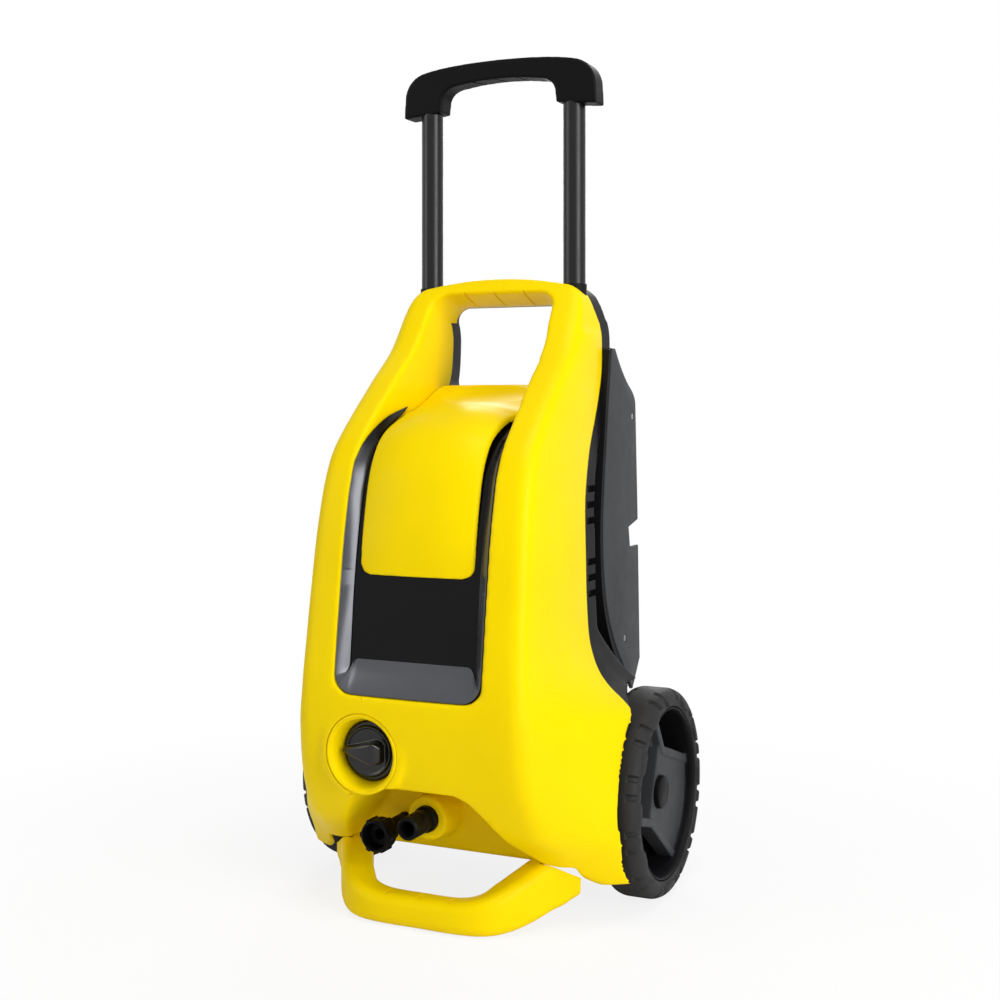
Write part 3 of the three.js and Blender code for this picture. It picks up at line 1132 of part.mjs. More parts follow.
// Saddle between the motor and the back wall.
function motorBracket() {
  const back = TUB_BACK - WALL - GAP;
  const arm = box(-24, 24, DRIVE_Y, back, CAN_BOTTOM + 40, CAN_BOTTOM + 62);
  const foot = box(-40, 40, back - 4, back, CAN_BOTTOM + 34, CAN_BOTTOM + 68);
  return arm.add(foot).subtract(rod("z", CAN_BOTTOM, CAN_TOP, MOTOR_RADIUS + 3 + GAP, 0, DRIVE_Y));
}

function capacitor() {
  const low = HEAD_BOTTOM;
  const [r, high] = [CAPACITOR_RADIUS, low + CAPACITOR_HEIGHT];
  return turned("z", [[0, low], [r, low], [r, high - 3], [r - 2, high], [0, high]], CAPACITOR_X, CAPACITOR_Y, 24);
}

// ---------------------------------------------------------------- assembly

const washer = new THREE.Group();
washer.position.y = CENTRE_TO_TUBES;

function add(name, shape, finish, parent = washer) {
  const mesh = new THREE.Mesh(geometryOf(shape), new THREE.MeshStandardMaterial(finish));
  mesh.name = name;
  parent.add(mesh);
  return mesh;
}

add("front_housing", frontShell(), YELLOW);
add("switch_bezel", switchBezel(), YELLOW);
add("connection_surround", connectionSurround(), YELLOW);
add("connection_panel", connectionPanel(), YELLOW);
add("rear_housing", rearShell(), BLACK);
add("bonnet", bonnet(), YELLOW);
add("window_panel", windowPanel(), GLOSS);
add("trim_bezel", trimBezel(), TRIM);
add("foot_bar", footBar(), YELLOW);
add("storage_tray", storageTray(), GREY);
add("axle", axle(), STEEL);
add("switch_dial", dial(), BLACK);
add("switch_box", switchBox(), BLACK);
add("outlet_nipple", outlet(), BLACK);
add("inlet_spigot", inletSpigot(), BLACK);
add("inlet_nut", inletNut(), BLACK);
add("handle_grip", grip(), BLACK);

const sides = [["left", -1], ["right", 1]];
sides.forEach(([name, side]) => {
  add("cheek_" + name, cheek(side), GREY);
  add("handle_tube_" + name, handleTube(side), PAINTED_TUBE);
  add("tube_stop_" + name, tubeStop(side), BLACK);
  add("tube_guide_" + name, tubeGuide(side), BLACK);
  const facing = (shape) => (side > 0 ? shape : shape.mirror([1, 0, 0]));
  add("tyre_" + name, facing(tyre()), RUBBER);
  add("rim_" + name, facing(rim()), GREY);
  add("hub_cap_" + name, facing(hubCap()), BLACK);
});

add("pump_head", pumpHead(), ALUMINIUM);
add("pump_housing", pumpHousing(), ALUMINIUM);
for (let i = 0; i < PISTONS; i += 1) add("piston_" + (i + 1), piston(i), STEEL);
add("swash_plate", swashPlate(), STEEL);
add("motor_can", motorCan(), ALUMINIUM);
add("motor_end_shield", endShield(), ALUMINIUM);
add("motor_rotor", rotor(), STEEL);
add("cooling_fan", coolingFan(), BLACK);
add("motor_bracket", motorBracket(), GREY);
add("capacitor", capacitor(), GREY);

export default washer;
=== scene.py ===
# Upright electric pressure washer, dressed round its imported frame. Metres, +Z up, switch side towards -Y.
import json
import math

import bpy
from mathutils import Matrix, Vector


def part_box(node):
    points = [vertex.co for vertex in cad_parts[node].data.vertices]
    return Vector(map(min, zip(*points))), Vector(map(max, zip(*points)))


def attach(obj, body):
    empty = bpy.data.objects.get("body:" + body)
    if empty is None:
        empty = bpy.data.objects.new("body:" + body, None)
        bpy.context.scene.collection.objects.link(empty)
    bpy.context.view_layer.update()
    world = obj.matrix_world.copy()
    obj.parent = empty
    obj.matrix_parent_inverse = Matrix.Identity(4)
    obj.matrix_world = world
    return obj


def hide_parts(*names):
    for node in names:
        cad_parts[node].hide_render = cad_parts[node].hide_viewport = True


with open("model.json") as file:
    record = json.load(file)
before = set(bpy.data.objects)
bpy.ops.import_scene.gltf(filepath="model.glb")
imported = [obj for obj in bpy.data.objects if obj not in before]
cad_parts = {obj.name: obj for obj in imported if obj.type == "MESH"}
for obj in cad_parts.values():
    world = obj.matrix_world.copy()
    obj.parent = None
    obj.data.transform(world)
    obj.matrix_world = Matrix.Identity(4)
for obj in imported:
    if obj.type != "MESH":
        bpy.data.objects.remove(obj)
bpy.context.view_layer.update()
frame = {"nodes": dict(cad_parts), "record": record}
nodes = frame["nodes"]

# ---------------- camera
# It stands a little right of the front and looks level, with the horizon above the middle of the picture.
LENS_MM = 54
TURN = math.radians(25)
camera_data = bpy.data.cameras.new("camera")
camera_data.lens = LENS_MM
camera_data.shift_y = -0.097
camera = bpy.data.objects.new("camera", camera_data)
camera.location = (0.632, -1.311, 0.4687)
camera.rotation_euler = (math.pi / 2, 0, TURN)
bpy.context.collection.objects.link(camera)
bpy.context.scene.camera = camera


# ---------------- studio
# A pale floor and sky with four large soft lamps. The camera and reflections see the sky as white, and the
# floor fades into it.
def linear(hex_colour):
    """An sRGB hex value as linear red, green, blue and alpha."""
    parts = [int(hex_colour[i:i + 2], 16) / 255 for i in (1, 3, 5)]
    return [p / 12.92 if p <= 0.04045 else ((p + 0.055) / 1.055) ** 2.4 for p in parts] + [1]


def add_node(tree, kind, settings=None, links=None):
    """A node of a tree: a setting names a socket or a property, a link joins a socket to another's output."""
    node = tree.nodes.new("ShaderNode" + kind)
    for name, value in (settings or {}).items():
        if isinstance(name, int) or name in node.inputs:
            node.inputs[name].default_value = value
        else:
            setattr(node, name, value)
    for name, source in (links or {}).items():
        tree.links.new(source, node.inputs[name])
    return node


def new_material(name):
    """An empty material with its tree and output node."""
    material = bpy.data.materials.new(name)
    material.use_nodes = True
    material.node_tree.nodes.clear()
    return material, material.node_tree, add_node(material.node_tree, "OutputMaterial")


world = bpy.data.worlds.new("studio")
world.use_nodes = True
world.node_tree.nodes.clear()
sky = world.node_tree
path = add_node(sky, "LightPath")
direct = add_node(
    sky, "Math", {"operation": "MAXIMUM"},
    {0: path.outputs["Is Camera Ray"], 1: path.outputs["Is Transmission Ray"]})
seen = add_node(
    sky, "Math", {"operation": "MAXIMUM"}, {0: direct.outputs[0], 1: path.outputs["Is Glossy Ray"]})
ambient = add_node(sky, "Background", {"Color": linear("#FFFFFF"), "Strength": 0.25})
white = add_node(sky, "Background", {"Color": linear("#FFFFFF"), "Strength": 1.0})
either = add_node(sky, "MixShader", {}, {0: seen.outputs[0], 1: ambient.outputs[0], 2: white.outputs[0]})
add_node(sky, "OutputWorld", {}, {"Surface": either.outputs[0]})
bpy.context.scene.world = world

# Backdrop paper: white to the camera, but for a soft shadow under the machine.
floor_paper, tree, out = new_material("floor_paper")
path = add_node(tree, "LightPath")
spot = add_node(tree, "TexCoord")
reach = add_node(tree, "VectorMath", {"operation": "LENGTH"}, {0: spot.outputs["Object"]})
fade = add_node(tree, "MapRange", {1: 0.3, 2: 0.8, 3: 0.84, 4: 1.0}, {0: reach.outputs["Value"]})
matt = add_node(tree, "BsdfDiffuse", {"Color": linear("#F4F4F4")})
glow = add_node(tree, "Emission", {"Color": linear("#FFFFFF"), "Strength": 1.0})
share = add_node(
    tree, "Math", {"operation": "MULTIPLY"}, {0: path.outputs["Is Camera Ray"], 1: fade.outputs[0]})
paper = add_node(tree, "MixShader", {}, {0: share.outputs[0], 1: matt.outputs[0], 2: glow.outputs[0]})
tree.links.new(paper.outputs[0], out.inputs["Surface"])

bpy.ops.mesh.primitive_plane_add(size=12, location=(0, 0, -0.0005))
floor = bpy.context.object
floor.name = "floor"
floor.data.materials.append(floor_paper)


def softbox(name, place, aim, width, height, watts):
    """A rectangular area lamp that looks at a point."""
    lamp = bpy.data.lights.new(name, "AREA")
    lamp.shape = "RECTANGLE"
    lamp.size, lamp.size_y, lamp.energy = width, height, watts
    holder = bpy.data.objects.new(name, lamp)
    holder.location = place
    holder.rotation_euler = (Vector(aim) - Vector(place)).to_track_quat("-Z", "Y").to_euler()
    bpy.context.collection.objects.link(holder)


MIDDLE = (0, 0, 0.4)
softbox("key", (2.3, -1.0, 0.95), MIDDLE, 1.3, 1.7, 46)
softbox("fill", (-2.1, -1.7, 1.0), MIDDLE, 1.1, 1.4, 14)
softbox("top", (0.5, -0.6, 2.4), MIDDLE, 1.2, 1.2, 22)
softbox("back", (-0.8, 2.2, 1.4), MIDDLE, 1.6, 1.4, 24)

# ---------------- front housing
# One injection moulding in yellow ABS, screwed to the rear housing along the side seam. It flares out over
# the wheels and carries the lifting handle. Its edges are rounded so far that the light runs round them.
# The sizes are millimetres, and y counts from the plane of the handle's tubes, this far behind the origin.
TUBES_BEHIND = sum(corner.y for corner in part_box("handle_tube_left")) * 500
TUBES_AT = (-78.1, 78.1)
WALL, FIT, BODY_FOOT, FLOOR, SKIRT, REACH = 2.6, 0.3, 20, 62, 33, 260
CORNER_DEPTH = [
    (20, 96), (33, 108), (63, 137), (84, 165), (100, 177), (131, 192), (172, 199.2), (215, 199.8), (251, 196),
    (303, 189), (355, 181), (408, 167), (435, 150), (490, 92), (520, 57), (550, 36), (600, 4)]
CORNER_HALF = [(20, 119), (63, 116.6), (131, 112), (225, 111), (382, 106), (490, 100.5), (550, 97), (600, 94)]
SIDE_HALF = [
    (20, 187), (63, 198), (84, 190), (104, 184), (131, 177), (158, 169), (178, 163), (188, 157), (197, 146),
    (205, 135), (217, 124), (232, 116.5), (250, 112), (285, 110.5), (330, 110), (385, 108), (440, 104),
    (500, 100.5), (546, 98.5), (600, 96)]
SEAM = [
    (0, -60), (150, -60), (184, -58), (211, -51), (243, -47), (300, -50), (357, -50), (385, -46), (424, -29),
    (462, -4), (500, 15), (545, 20)]
CORNER_ROUND, FRONT_CROWN, SIDE_CROWN = 13, 4, 4
SHOULDER, CROWN, COLLAR = 585, 592, 547
AXLE = AXLE_Y, AXLE_Z = 1, 98
ARCH_RADIUS = 103


def between(stations, at):
    """A smooth value between stations (at, value)."""
    if at <= stations[0][0]:
        return stations[0][1]
    if at >= stations[-1][0]:
        return stations[-1][1]
    k = next(i for i, (place, _) in enumerate(stations) if place > at) - 1
    (x0, y0), (x1, y1) = stations[k], stations[k + 1]

    def slope(i):
        (xa, ya), (xb, yb) = stations[max(i - 1, 0)], stations[min(i + 1, len(stations) - 1)]
        return (yb - ya) / (xb - xa)

    t, span = (at - x0) / (x1 - x0), x1 - x0
    rise = t * t * (3 - 2 * t) * (y1 - y0)
    return y0 + rise + t * (1 - t) ** 2 * span * slope(k) - t * t * (1 - t) * span * slope(k + 1)


def as_metres(point):
    """A point in millimetres from the tubes' plane, in the frame."""
    return (point[0] / 1000, (point[1] + TUBES_BEHIND) / 1000, point[2] / 1000)


def only(piece):
    """Selects one piece alone and makes it active."""
    bpy.ops.object.select_all(action="DESELECT")
    piece.select_set(True)
    bpy.context.view_layer.objects.active = piece


def edit(piece):
    """Enters edit mode on one piece with all of it selected."""
    only(piece)
    bpy.ops.object.mode_set(mode="EDIT")
    bpy.ops.mesh.select_all(action="SELECT")


def closed(piece):
    """Merges the seam, fills open ends and turns the faces outwards."""
    edit(piece)
    bpy.ops.mesh.remove_doubles(threshold=1e-6)
    bpy.ops.mesh.delete_loose(use_verts=True, use_edges=True, use_faces=False)
    bpy.ops.mesh.select_all(action="DESELECT")
    bpy.ops.mesh.select_non_manifold(
        extend=False, use_wire=False, use_multi_face=False, use_non_contiguous=False, use_verts=False)
    bpy.ops.mesh.fill_holes(sides=0)
    bpy.ops.mesh.select_all(action="SELECT")
    bpy.ops.mesh.normals_make_consistent(inside=False)
    bpy.ops.object.mode_set(mode="OBJECT")
    return piece


def wrapped(name, columns, rows, place):
    """A grid wrapped into a closed skin: place turns two shares, round and along, into a point."""
    bpy.ops.object.select_all(action="DESELECT")
    bpy.ops.mesh.primitive_grid_add(x_subdivisions=columns, y_subdivisions=rows, size=1)
    piece = bpy.context.object
    piece.name = name
    for vertex in piece.data.vertices:
        vertex.co = as_metres(place(vertex.co.x + 0.5, vertex.co.y + 0.5))
    return closed(piece)


def pushed(name, outline, axis="X", start=-REACH, end=REACH):
    """A flat outline pushed along X or Y into a block. It is (y, z) along X and (x, z) along Y."""
    bpy.ops.object.select_all(action="DESELECT")
    bpy.ops.mesh.primitive_circle_add(vertices=len(outline), fill_type="NGON")
    piece = bpy.context.object
    piece.name = name
    for vertex, (a, z) in zip(piece.data.vertices, outline):
        vertex.co = as_metres((start, a, z) if axis == "X" else (a, start, z))
    step = (end - start) / 1000
    edit(piece)
    bpy.ops.mesh.extrude_region_move(
        TRANSFORM_OT_translate={"value": (step, 0, 0) if axis == "X" else (0, step, 0)})
    bpy.ops.object.mode_set(mode="OBJECT")
    return closed(piece)


def about(axis, centre, radius, share, along):
    """A point on a circle round an axis, some way along it."""
    a, b = centre[0] + radius * math.cos(math.tau * share), centre[1] + radius * math.sin(math.tau * share)
    return {"X": (along, a, b), "Y": (a, along, b), "Z": (a, b, along)}[axis]


def turned(name, profile, axis, centre, facets=96):
    """A closed profile of (radius, along) turned about an axis through a point of the plane across it."""
    loop = profile + profile[:1]

    def place(u, v):
        radius, along = loop[round(v * (len(loop) - 1))]
        return about(axis, centre, radius, u, along)

    return wrapped(name, facets, len(loop) - 1, place)


def rod(axis, start, end, radius, centre, end_radius=None, facets=96):
    """A round bar or cone along an axis."""
    end_radius = radius if end_radius is None else end_radius

    def place(u, v):
        return about(axis, centre, radius + (end_radius - radius) * v, u, start + (end - start) * v)

    return wrapped("rod", facets, 1, place)


def combine(piece, tool, how="DIFFERENCE"):
    """Cuts, joins or meets a piece with a tool, which is used up."""
    only(piece)
    step = piece.modifiers.new("step", "BOOLEAN")
    step.operation, step.solver, step.object = how, "EXACT", tool
    bpy.ops.object.modifier_apply(modifier=step.name)
    bpy.data.objects.remove(tool)
    return piece


def gathered(tools):
    """Several cutting tools that lie apart, as one."""
    only(tools[0])
    for tool in tools[1:]:
        tool.select_set(True)
    bpy.ops.object.join()
    return tools[0]


def shaped(piece, kind, **settings):
    """Adds a modifier and applies it."""
    only(piece)
    step = piece.modifiers.new("step", kind)
    for name, value in settings.items():
        setattr(step, name, value)
    bpy.ops.object.modifier_apply(modifier=step.name)
    return piece


def softened(piece, voxel, passes, kept):
    """Rounds the edges as a mould does: an even skin of small squares, in mm, is relaxed and then thinned."""
    shaped(piece, "REMESH", mode="VOXEL", voxel_size=voxel / 1000)
    shaped(piece, "SMOOTH", factor=0.5, iterations=passes)
    return shaped(piece, "DECIMATE", ratio=kept)


def finished(piece, degrees, name, finish, *replaced, body="chassis"):
    """Shades a piece smooth up to an angle, names it, gives it a material and a body, and hides its CAD
    nodes.
    """
    only(piece)
    bpy.ops.object.shade_smooth_by_angle(angle=math.radians(degrees))
    material, slot = finish
    piece.name = name
    piece.data.materials.clear()
    piece.data.materials.append(material)
    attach(piece, body)
    if replaced:
        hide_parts(*replaced)
    return piece


def body_outline(z, inset, back):
    """One level of the body, from the middle of the back round the right side to the middle of the front."""
    front = -between(CORNER_DEPTH, z) + inset
    half, side = between(CORNER_HALF, z) - inset, between(SIDE_HALF, z) - inset
    corner, rear = Vector((half, front)), Vector((side, max(between(SEAM, z), front + 40)))
    out = Vector((rear.y - corner.y, corner.x - rear.x)).normalized()
    entry_share = 1 - CORNER_ROUND / (rear - corner).length

    def bowed(share):
        return rear.lerp(corner, share) + out * 4 * SIDE_CROWN * share * (1 - share)

    def across(x):
        return Vector((x, front - FRONT_CROWN * (1 - (x / half) ** 2)))

    entry, leave = bowed(entry_share), across(half - CORNER_ROUND)

    def place(t):
        # The back, the rear of the side, the bowed side, the corner and the front have a share each.
        if t < 0.02:
            return Vector((side * t / 0.02, back))
        if t < 0.04:
            return Vector((side, back + (rear.y - back) * (t - 0.02) / 0.02))
        if t < 0.25:
            return bowed(entry_share * (t - 0.04) / 0.21)
        if t < 0.35:
            s = (t - 0.25) / 0.1
            return entry * (1 - s) ** 2 + corner * 2 * s * (1 - s) + leave * s * s
        return across(leave.x * (1 - (t - 0.35) / 0.15))

    return place


def body_form(inset=0.0, back=60, rows=150):
    """The body as a block, some way inside its skin, with its arched top."""
    levels = {}

    def place(u, v):
        z = BODY_FOOT + (CROWN + 8 - BODY_FOOT) * v
        if v not in levels:
            levels[v] = body_outline(z, inset, back)
        p = levels[v](min(u, 1 - u))
        return (p.x if u <= 0.5 else -p.x, p.y, z)

    body = wrapped("body", 100, rows, place)
    return combine(body, pushed("arch", arch_outline(inset), "Y", -REACH, 120), "INTERSECT")


def bend(a, b, c, steps=12):
    """Points along a curve that leaves a and reaches c, drawn towards b."""
    points = []
    for i in range(1, steps + 1):
        t = i / steps
        points.append(tuple((1 - t) ** 2 * p + 2 * t * (1 - t) * q + t * t * r for p, q, r in zip(a, b, c)))
    return points


def arch_outline(inset):
    """Front view of the body: straight sides, rounded shoulders and an arched top."""
    side, top = between(SIDE_HALF, COLLAR) - inset, SHOULDER - inset
    right = [(side, COLLAR - 8)] + bend((side, COLLAR - 8), (side - 1, top - 2), (72, top))
    arch = bend((72, top), (0, 2 * (CROWN - inset) - top), (-72, top), 20)
    left = [(-x, z) for x, z in reversed(right[:-1])]
    return [(-175, -10), (175, -10), (175, COLLAR - 60)] + right + arch + left + [(-175, COLLAR - 60)]


OPENING_STATIONS = [(-230, 73), (-150, 73), (-60, 69), (-13, 64), (10, 64), (60, 64)]
OPENING_ROUND, OPENING_RISE, SILL, RECESS_FOOT = 17, 0.36, 484, 208


def opening_half(y):
    """Half width of the opening, straight between its stations."""
    k = max(next((i for i, (at, _) in enumerate(OPENING_STATIONS) if at > y), len(OPENING_STATIONS) - 1), 1)
    (y0, h0), (y1, h1) = OPENING_STATIONS[k - 1], OPENING_STATIONS[k]
    return h0 + (h1 - h0) * (y - y0) / (y1 - y0)


def rounded(u, width, height, radius):
    """A point on a rectangle with round corners."""
    quarter, t = divmod(u * 4, 1)
    quarter = int(quarter) % 4
    sx, sy = [(1, 1), (-1, 1), (-1, -1), (1, -1)][quarter]
    turn = (quarter + t) * math.pi / 2
    x, y = sx * (width / 2 - radius), sy * (height / 2 - radius)
    return x + radius * math.cos(turn), y + radius * math.sin(turn)


def opening(foot, grown, front=-230, back=60, flare=0.0):
    """The carry-handle opening and the recess under it, grown on every side and flared behind the tubes."""
    def place(u, v):
        y = front + (back - front) * v
        top = min(CROWN - 22 - OPENING_RISE * min(max(y, -40), 10), SHOULDER) + grown
        half = opening_half(y) + grown + flare * max(0, y - 3)
        x, z = rounded(u, 2 * half, top - foot + grown, OPENING_ROUND + grown)
        return x, y, (top + foot - grown) / 2 + z

    return wrapped("opening", 64, 48, place)


def lining(grown):
    """The zone under the top bar where the yellow lining runs through to the back."""
    outline = [(-10, 551 - grown), (26.5, 551 - grown), (26.5, 582), (-10, 586)]
    return pushed("lining", outline, "X", -67 - grown, 67 + grown)


def wells(radius, inner=128):
    """The wheel arches, one on each side."""
    right = rod("X", inner, 200, radius, AXLE, facets=128)
    return combine(right, rod("X", -200, -inner, radius, AXLE, facets=128), "UNION")


ALCOVE = [(97, 60), (80, 90), (66, 109), (54, 122), (42, 127)]
ALCOVE_BACK, ALCOVE_FALL = 118, 0.16


def alcove(grown, back):
    """The arched alcove for the water connections. It sinks towards its back wall."""
    right = [(97 + grown, 0), (97 + grown, 60)] + [(h + grown, z + grown) for h, z in ALCOVE[1:]]
    arch = right + [(-x, z) for x, z in reversed(right)]
    corners = len(arch)

    def place(u, v):
        step = u * corners
        i = int(step) % corners
        (xa, za), (xb, zb), t = arch[i], arch[(i + 1) % corners], step - int(step)
        y = -230 + (back + 230) * v
        z = za + (zb - za) * t
        return xa + (xb - xa) * t, y, z - ALCOVE_FALL * (y + 200) * min(1, max(0, (z - 60) / 30))

    return wrapped("alcove", corners * 4, 16, place)


def underside(inner=None, clear=0.0):
    """What lies below the body and its side skirts."""
    floor, skirt = FLOOR - clear, SKIRT - clear
    outline = [(-REACH, -20), (-REACH, floor), (-137, floor), (-93, skirt), (REACH, skirt), (REACH, -20)]
    low = pushed("underside", outline)
    if inner is None:
        return low
    block = pushed("block", [(-137, -20), (-137, 54), (REACH, 54), (REACH, -20)], "X", -inner, inner)
    return combine(low, block, "UNION")


def seam_side(shift, front):
    """A block on one side of the seam between the housings, which it keeps away from by a shift."""
    line = [(-10, SEAM[0][1])] + [(z, between(SEAM, z)) for z in range(150, COLLAR - 10, 12)]
    line += [(541, 18), (547, 16), (553, 11), (560, 7), (568, 4.5), (580, 2.5), (592, 1.5), (622, 1)]
    edge = [(y + shift, z) for z, y in line]
    far = -REACH if front else REACH
    return pushed("seam", [(far, -10)] + edge + [(far, CROWN + 30)])


def moulded(name, slot, colour, deep, roughness, grain_mm, depth_mm, shine=0.2, metallic=0.0, scuffed=0.05):
    """A finish for one slot: a slow drift of tone, a fine grain, and scuffed patches in the gloss."""
    material, tree, out = new_material(name)
    at = {"Vector": add_node(tree, "TexCoord").outputs["Object"]}
    drift = add_node(tree, "TexNoise", {"Scale": 9.0, "Detail": 2.0}, at)
    tone = add_node(tree, "MapRange", {1: 0.35, 2: 0.65}, {0: drift.outputs["Fac"]})
    mixed = add_node(
        tree, "Mix", {"data_type": "RGBA", 6: linear(deep), 7: linear(colour)}, {0: tone.outputs[0]})
    scuff = add_node(tree, "TexNoise", {"Scale": 55.0, "Detail": 4.0}, at)
    gloss = add_node(
        tree, "MapRange", {1: 0.3, 2: 0.7, 3: roughness - scuffed, 4: roughness + scuffed},
        {0: scuff.outputs["Fac"]})
    grain = add_node(tree, "TexNoise", {"Scale": 1000 / grain_mm, "Detail": 2.0}, at)
    bump = add_node(
        tree, "Bump", {"Strength": 0.35, "Distance": depth_mm / 1000}, {"Height": grain.outputs["Fac"]})
    shader = add_node(
        tree, "BsdfPrincipled", {"Metallic": metallic, "Specular IOR Level": shine},
        {"Base Color": mixed.outputs[2], "Roughness": gloss.outputs[0], "Normal": bump.outputs[0]})
    tree.links.new(shader.outputs[0], out.inputs["Surface"])
    return material, slot


# Yellow ABS with a fine spark-eroded grain: an even, strong yellow with a soft sheen on its rounded edges.
yellow_abs = moulded("yellow_abs", "yellow_housing", "#F8D900", "#F4D400", 0.38, 0.7, 0.05, 0.06)

SWITCH_AT = SWITCH_X, SWITCH_Z = -44, 156
SWITCH_FRONT, RIM_RADIUS, BOWL_RADIUS = 203.5, 40, 36.5
OUTLET_AT, OUTLET_HOLE, BOSS_FRONT, BOSS_RADIUS = (-6, 90), 12.3, 150, 20
INLET_AT, INLET_HOLE = (-45, 76), 8.3
BUSH_HOLE, GROOVES = 12.6, (-32, 0, 32)


def switch_rod(radius, front, back, end_radius=None):
    """A round bar or cone on the switch's axis, from one depth ahead of the tubes to another."""
    return rod("Y", -front, -back, radius, SWITCH_AT, end_radius)


shell = body_form()
combine(shell, switch_rod(RIM_RADIUS + 2, SWITCH_FRONT - 0.5, 180, RIM_RADIUS + 4), "UNION")
combine(shell, opening(RECESS_FOOT, 0))
combine(shell, alcove(0, -ALCOVE_BACK))
combine(shell, rod("Y", -BOSS_FRONT, -ALCOVE_BACK + 4, BOSS_RADIUS, OUTLET_AT, BOSS_RADIUS + 3), "UNION")
combine(shell, wells(ARCH_RADIUS))
combine(shell, underside(128))
softened(shell, 2.1, 14, 0.3)
combine(shell, switch_rod(BOWL_RADIUS, SWITCH_FRONT + 10, 172))
hollow = body_form(WALL, 90, rows=60)
combine(hollow, opening(RECESS_FOOT, WALL))
combine(hollow, alcove(WALL, -ALCOVE_BACK + WALL))
combine(hollow, switch_rod(RIM_RADIUS, SWITCH_FRONT + 10, 170))
combine(shell, hollow)
combine(shell, combine(seam_side(0, True), lining(0), "UNION"), "INTERSECT")
holes = [rod("Y", -BOSS_FRONT - 5, -90, OUTLET_HOLE, OUTLET_AT)]
holes.append(rod("Y", -BOSS_FRONT, -90, INLET_HOLE, INLET_AT))
holes += [rod("Z", 420, 640, BUSH_HOLE, (x, 0)) for x in TUBES_AT]
for x in GROOVES:
    groove = rod("Y", -35, 25, 1.5, (x, 0), facets=16)
    for vertex in groove.data.vertices:
        vertex.co.z += (CROWN - 21.7 - OPENING_RISE * (vertex.co.y * 1000 - TUBES_BEHIND)) / 1000
    holes.append(groove)
combine(shell, gathered(holes))
finished(
    shell, 40, "front_housing_moulding", yellow_abs,
    "front_housing", "connection_surround", "connection_panel")

# ---------------- bonnet
# A loose cover in the same yellow ABS that clips into the top of the recess with an even gap round its edge.
# Its crown bows from side to side, with finger room dished out at the back, and its face is bare.
BONNET_PROFILE = [
    (-186, 314), (-184, 350), (-176, 400), (-163, 430), (-145, 449), (-120, 461), (-92, 467.5), (-62, 471),
    (-8, 488.7)]
BONNET_HALF_LINE = [(-200, 58), (-102, 58), (-78, 66), (-60, 68.5), (0, 68.5)]
BONNET_DROOP = [(314, 4), (350, 6), (400, 9), (440, 10), (468, 10), (487, 1)]
BONNET_HALF, BONNET_FOOT, BONNET_ROUND, BONNET_WALL, BONNET_BACK = 57.5, 314, 14, 4.5, -13.2
DISH_DEPTH, DISH_HALF, DISH_AT, DISH_LENGTH = 6.5, 46, -40, 26


def drawn(points, share):
    """A place on the smooth line drawn through some points."""
    share = min(max(share, 0), 1) * (len(points) - 1)
    k = min(int(share), len(points) - 2)
    t = share - k
    a, b, c, d = [Vector(points[min(max(k + i, 0), len(points) - 1)]) for i in (-1, 0, 1, 2)]
    second, third = 2 * a - 5 * b + 4 * c - d, 3 * b - a - 3 * c + d
    return 0.5 * (2 * b + (c - a) * t + second * t * t + third * t ** 3)


def dished(x, y):
    """How deep the finger room is at one place."""
    return DISH_DEPTH * max(0, 1 - (x / DISH_HALF) ** 2 - ((y - DISH_AT) / DISH_LENGTH) ** 2) ** 0.8


def bonnet_at(u, v):
    """The crown's sheet: across its outside and back across its inside, and from its foot to its back."""
    middle, before, after = [drawn(BONNET_PROFILE, v + step) for step in (0, -0.005, 0.005)]
    out = (after - before).normalized().orthogonal()
    half = min(between(BONNET_HALF_LINE, middle.x), opening_half(middle.x) - 1)
    side, deep = (4 * u - 1, 0) if u < 0.5 else (3 - 4 * u, BONNET_WALL)
    inward = deep + between(BONNET_DROOP, middle.y) * abs(side) ** 2.6 + dished(side * half, middle.x)
    return side * half, middle.x - out.x * inward, middle.y - out.y * inward


corner = (BONNET_HALF - BONNET_ROUND, BONNET_FOOT)
right = [corner] + bend(corner, (BONNET_HALF, BONNET_FOOT), (BONNET_HALF, BONNET_FOOT + BONNET_ROUND))
right += [(BONNET_HALF, 440), (80, 452), (80, 520)]
front_view = pushed("front", right + [(-x, z) for x, z in reversed(right)], "Y", -REACH, 40)
bonnet = combine(wrapped("bonnet", 96, 110, bonnet_at), front_view, "INTERSECT")
softened(bonnet, 1.2, 6, 0.5)
combine(bonnet, pushed("end", [(BONNET_BACK, 430), (BONNET_BACK, 530), (20, 530), (20, 430)], "X", -90, 90))
finished(bonnet, 40, "bonnet_cover", yellow_abs, "bonnet")

# ---------------- window
# A panel of polished black acrylic, held behind the bonnet and the trim. It is curved in one direction only,
# so its reflections are long and soft.
WINDOW_DEPTH = [
    (200, 192), (250, 187), (300, 182), (350, 174), (385, 165), (402, 160), (417, 151), (433, 135),
    (447, 108), (464, 70)]
WINDOW_WALL, WINDOW_LOW, WINDOW_TALL = 3, 212, 233
# Polished acrylic: nearly black, with a long clear reflection and no grain.
black_gloss = moulded(
    "black_polished_acrylic", "gloss_black", "#0A0A0C", "#08080A", 0.14, 6.0, 0.01, 0.14, scuffed=0.01)


def window_at(z):
    """Where the window's front stands."""
    return -between(WINDOW_DEPTH, z)


def window_place(u, v):
    """The panel's four corners at one height. It narrows at its foot."""
    z = WINDOW_LOW + WINDOW_TALL * v
    half = opening_half(window_at(z)) - 0.6 - 10 * max(0, 1 - (z - WINDOW_LOW) / 13)
    corner = round(u * 4) % 4
    behind = corner in (1, 2)
    return half if corner < 2 else -half, window_at(z) + WINDOW_WALL * behind, z - WINDOW_WALL * behind / 2


window = wrapped("window", 4, 90, window_place)
finished(window, 20, "window_acrylic", black_gloss, "window_panel")

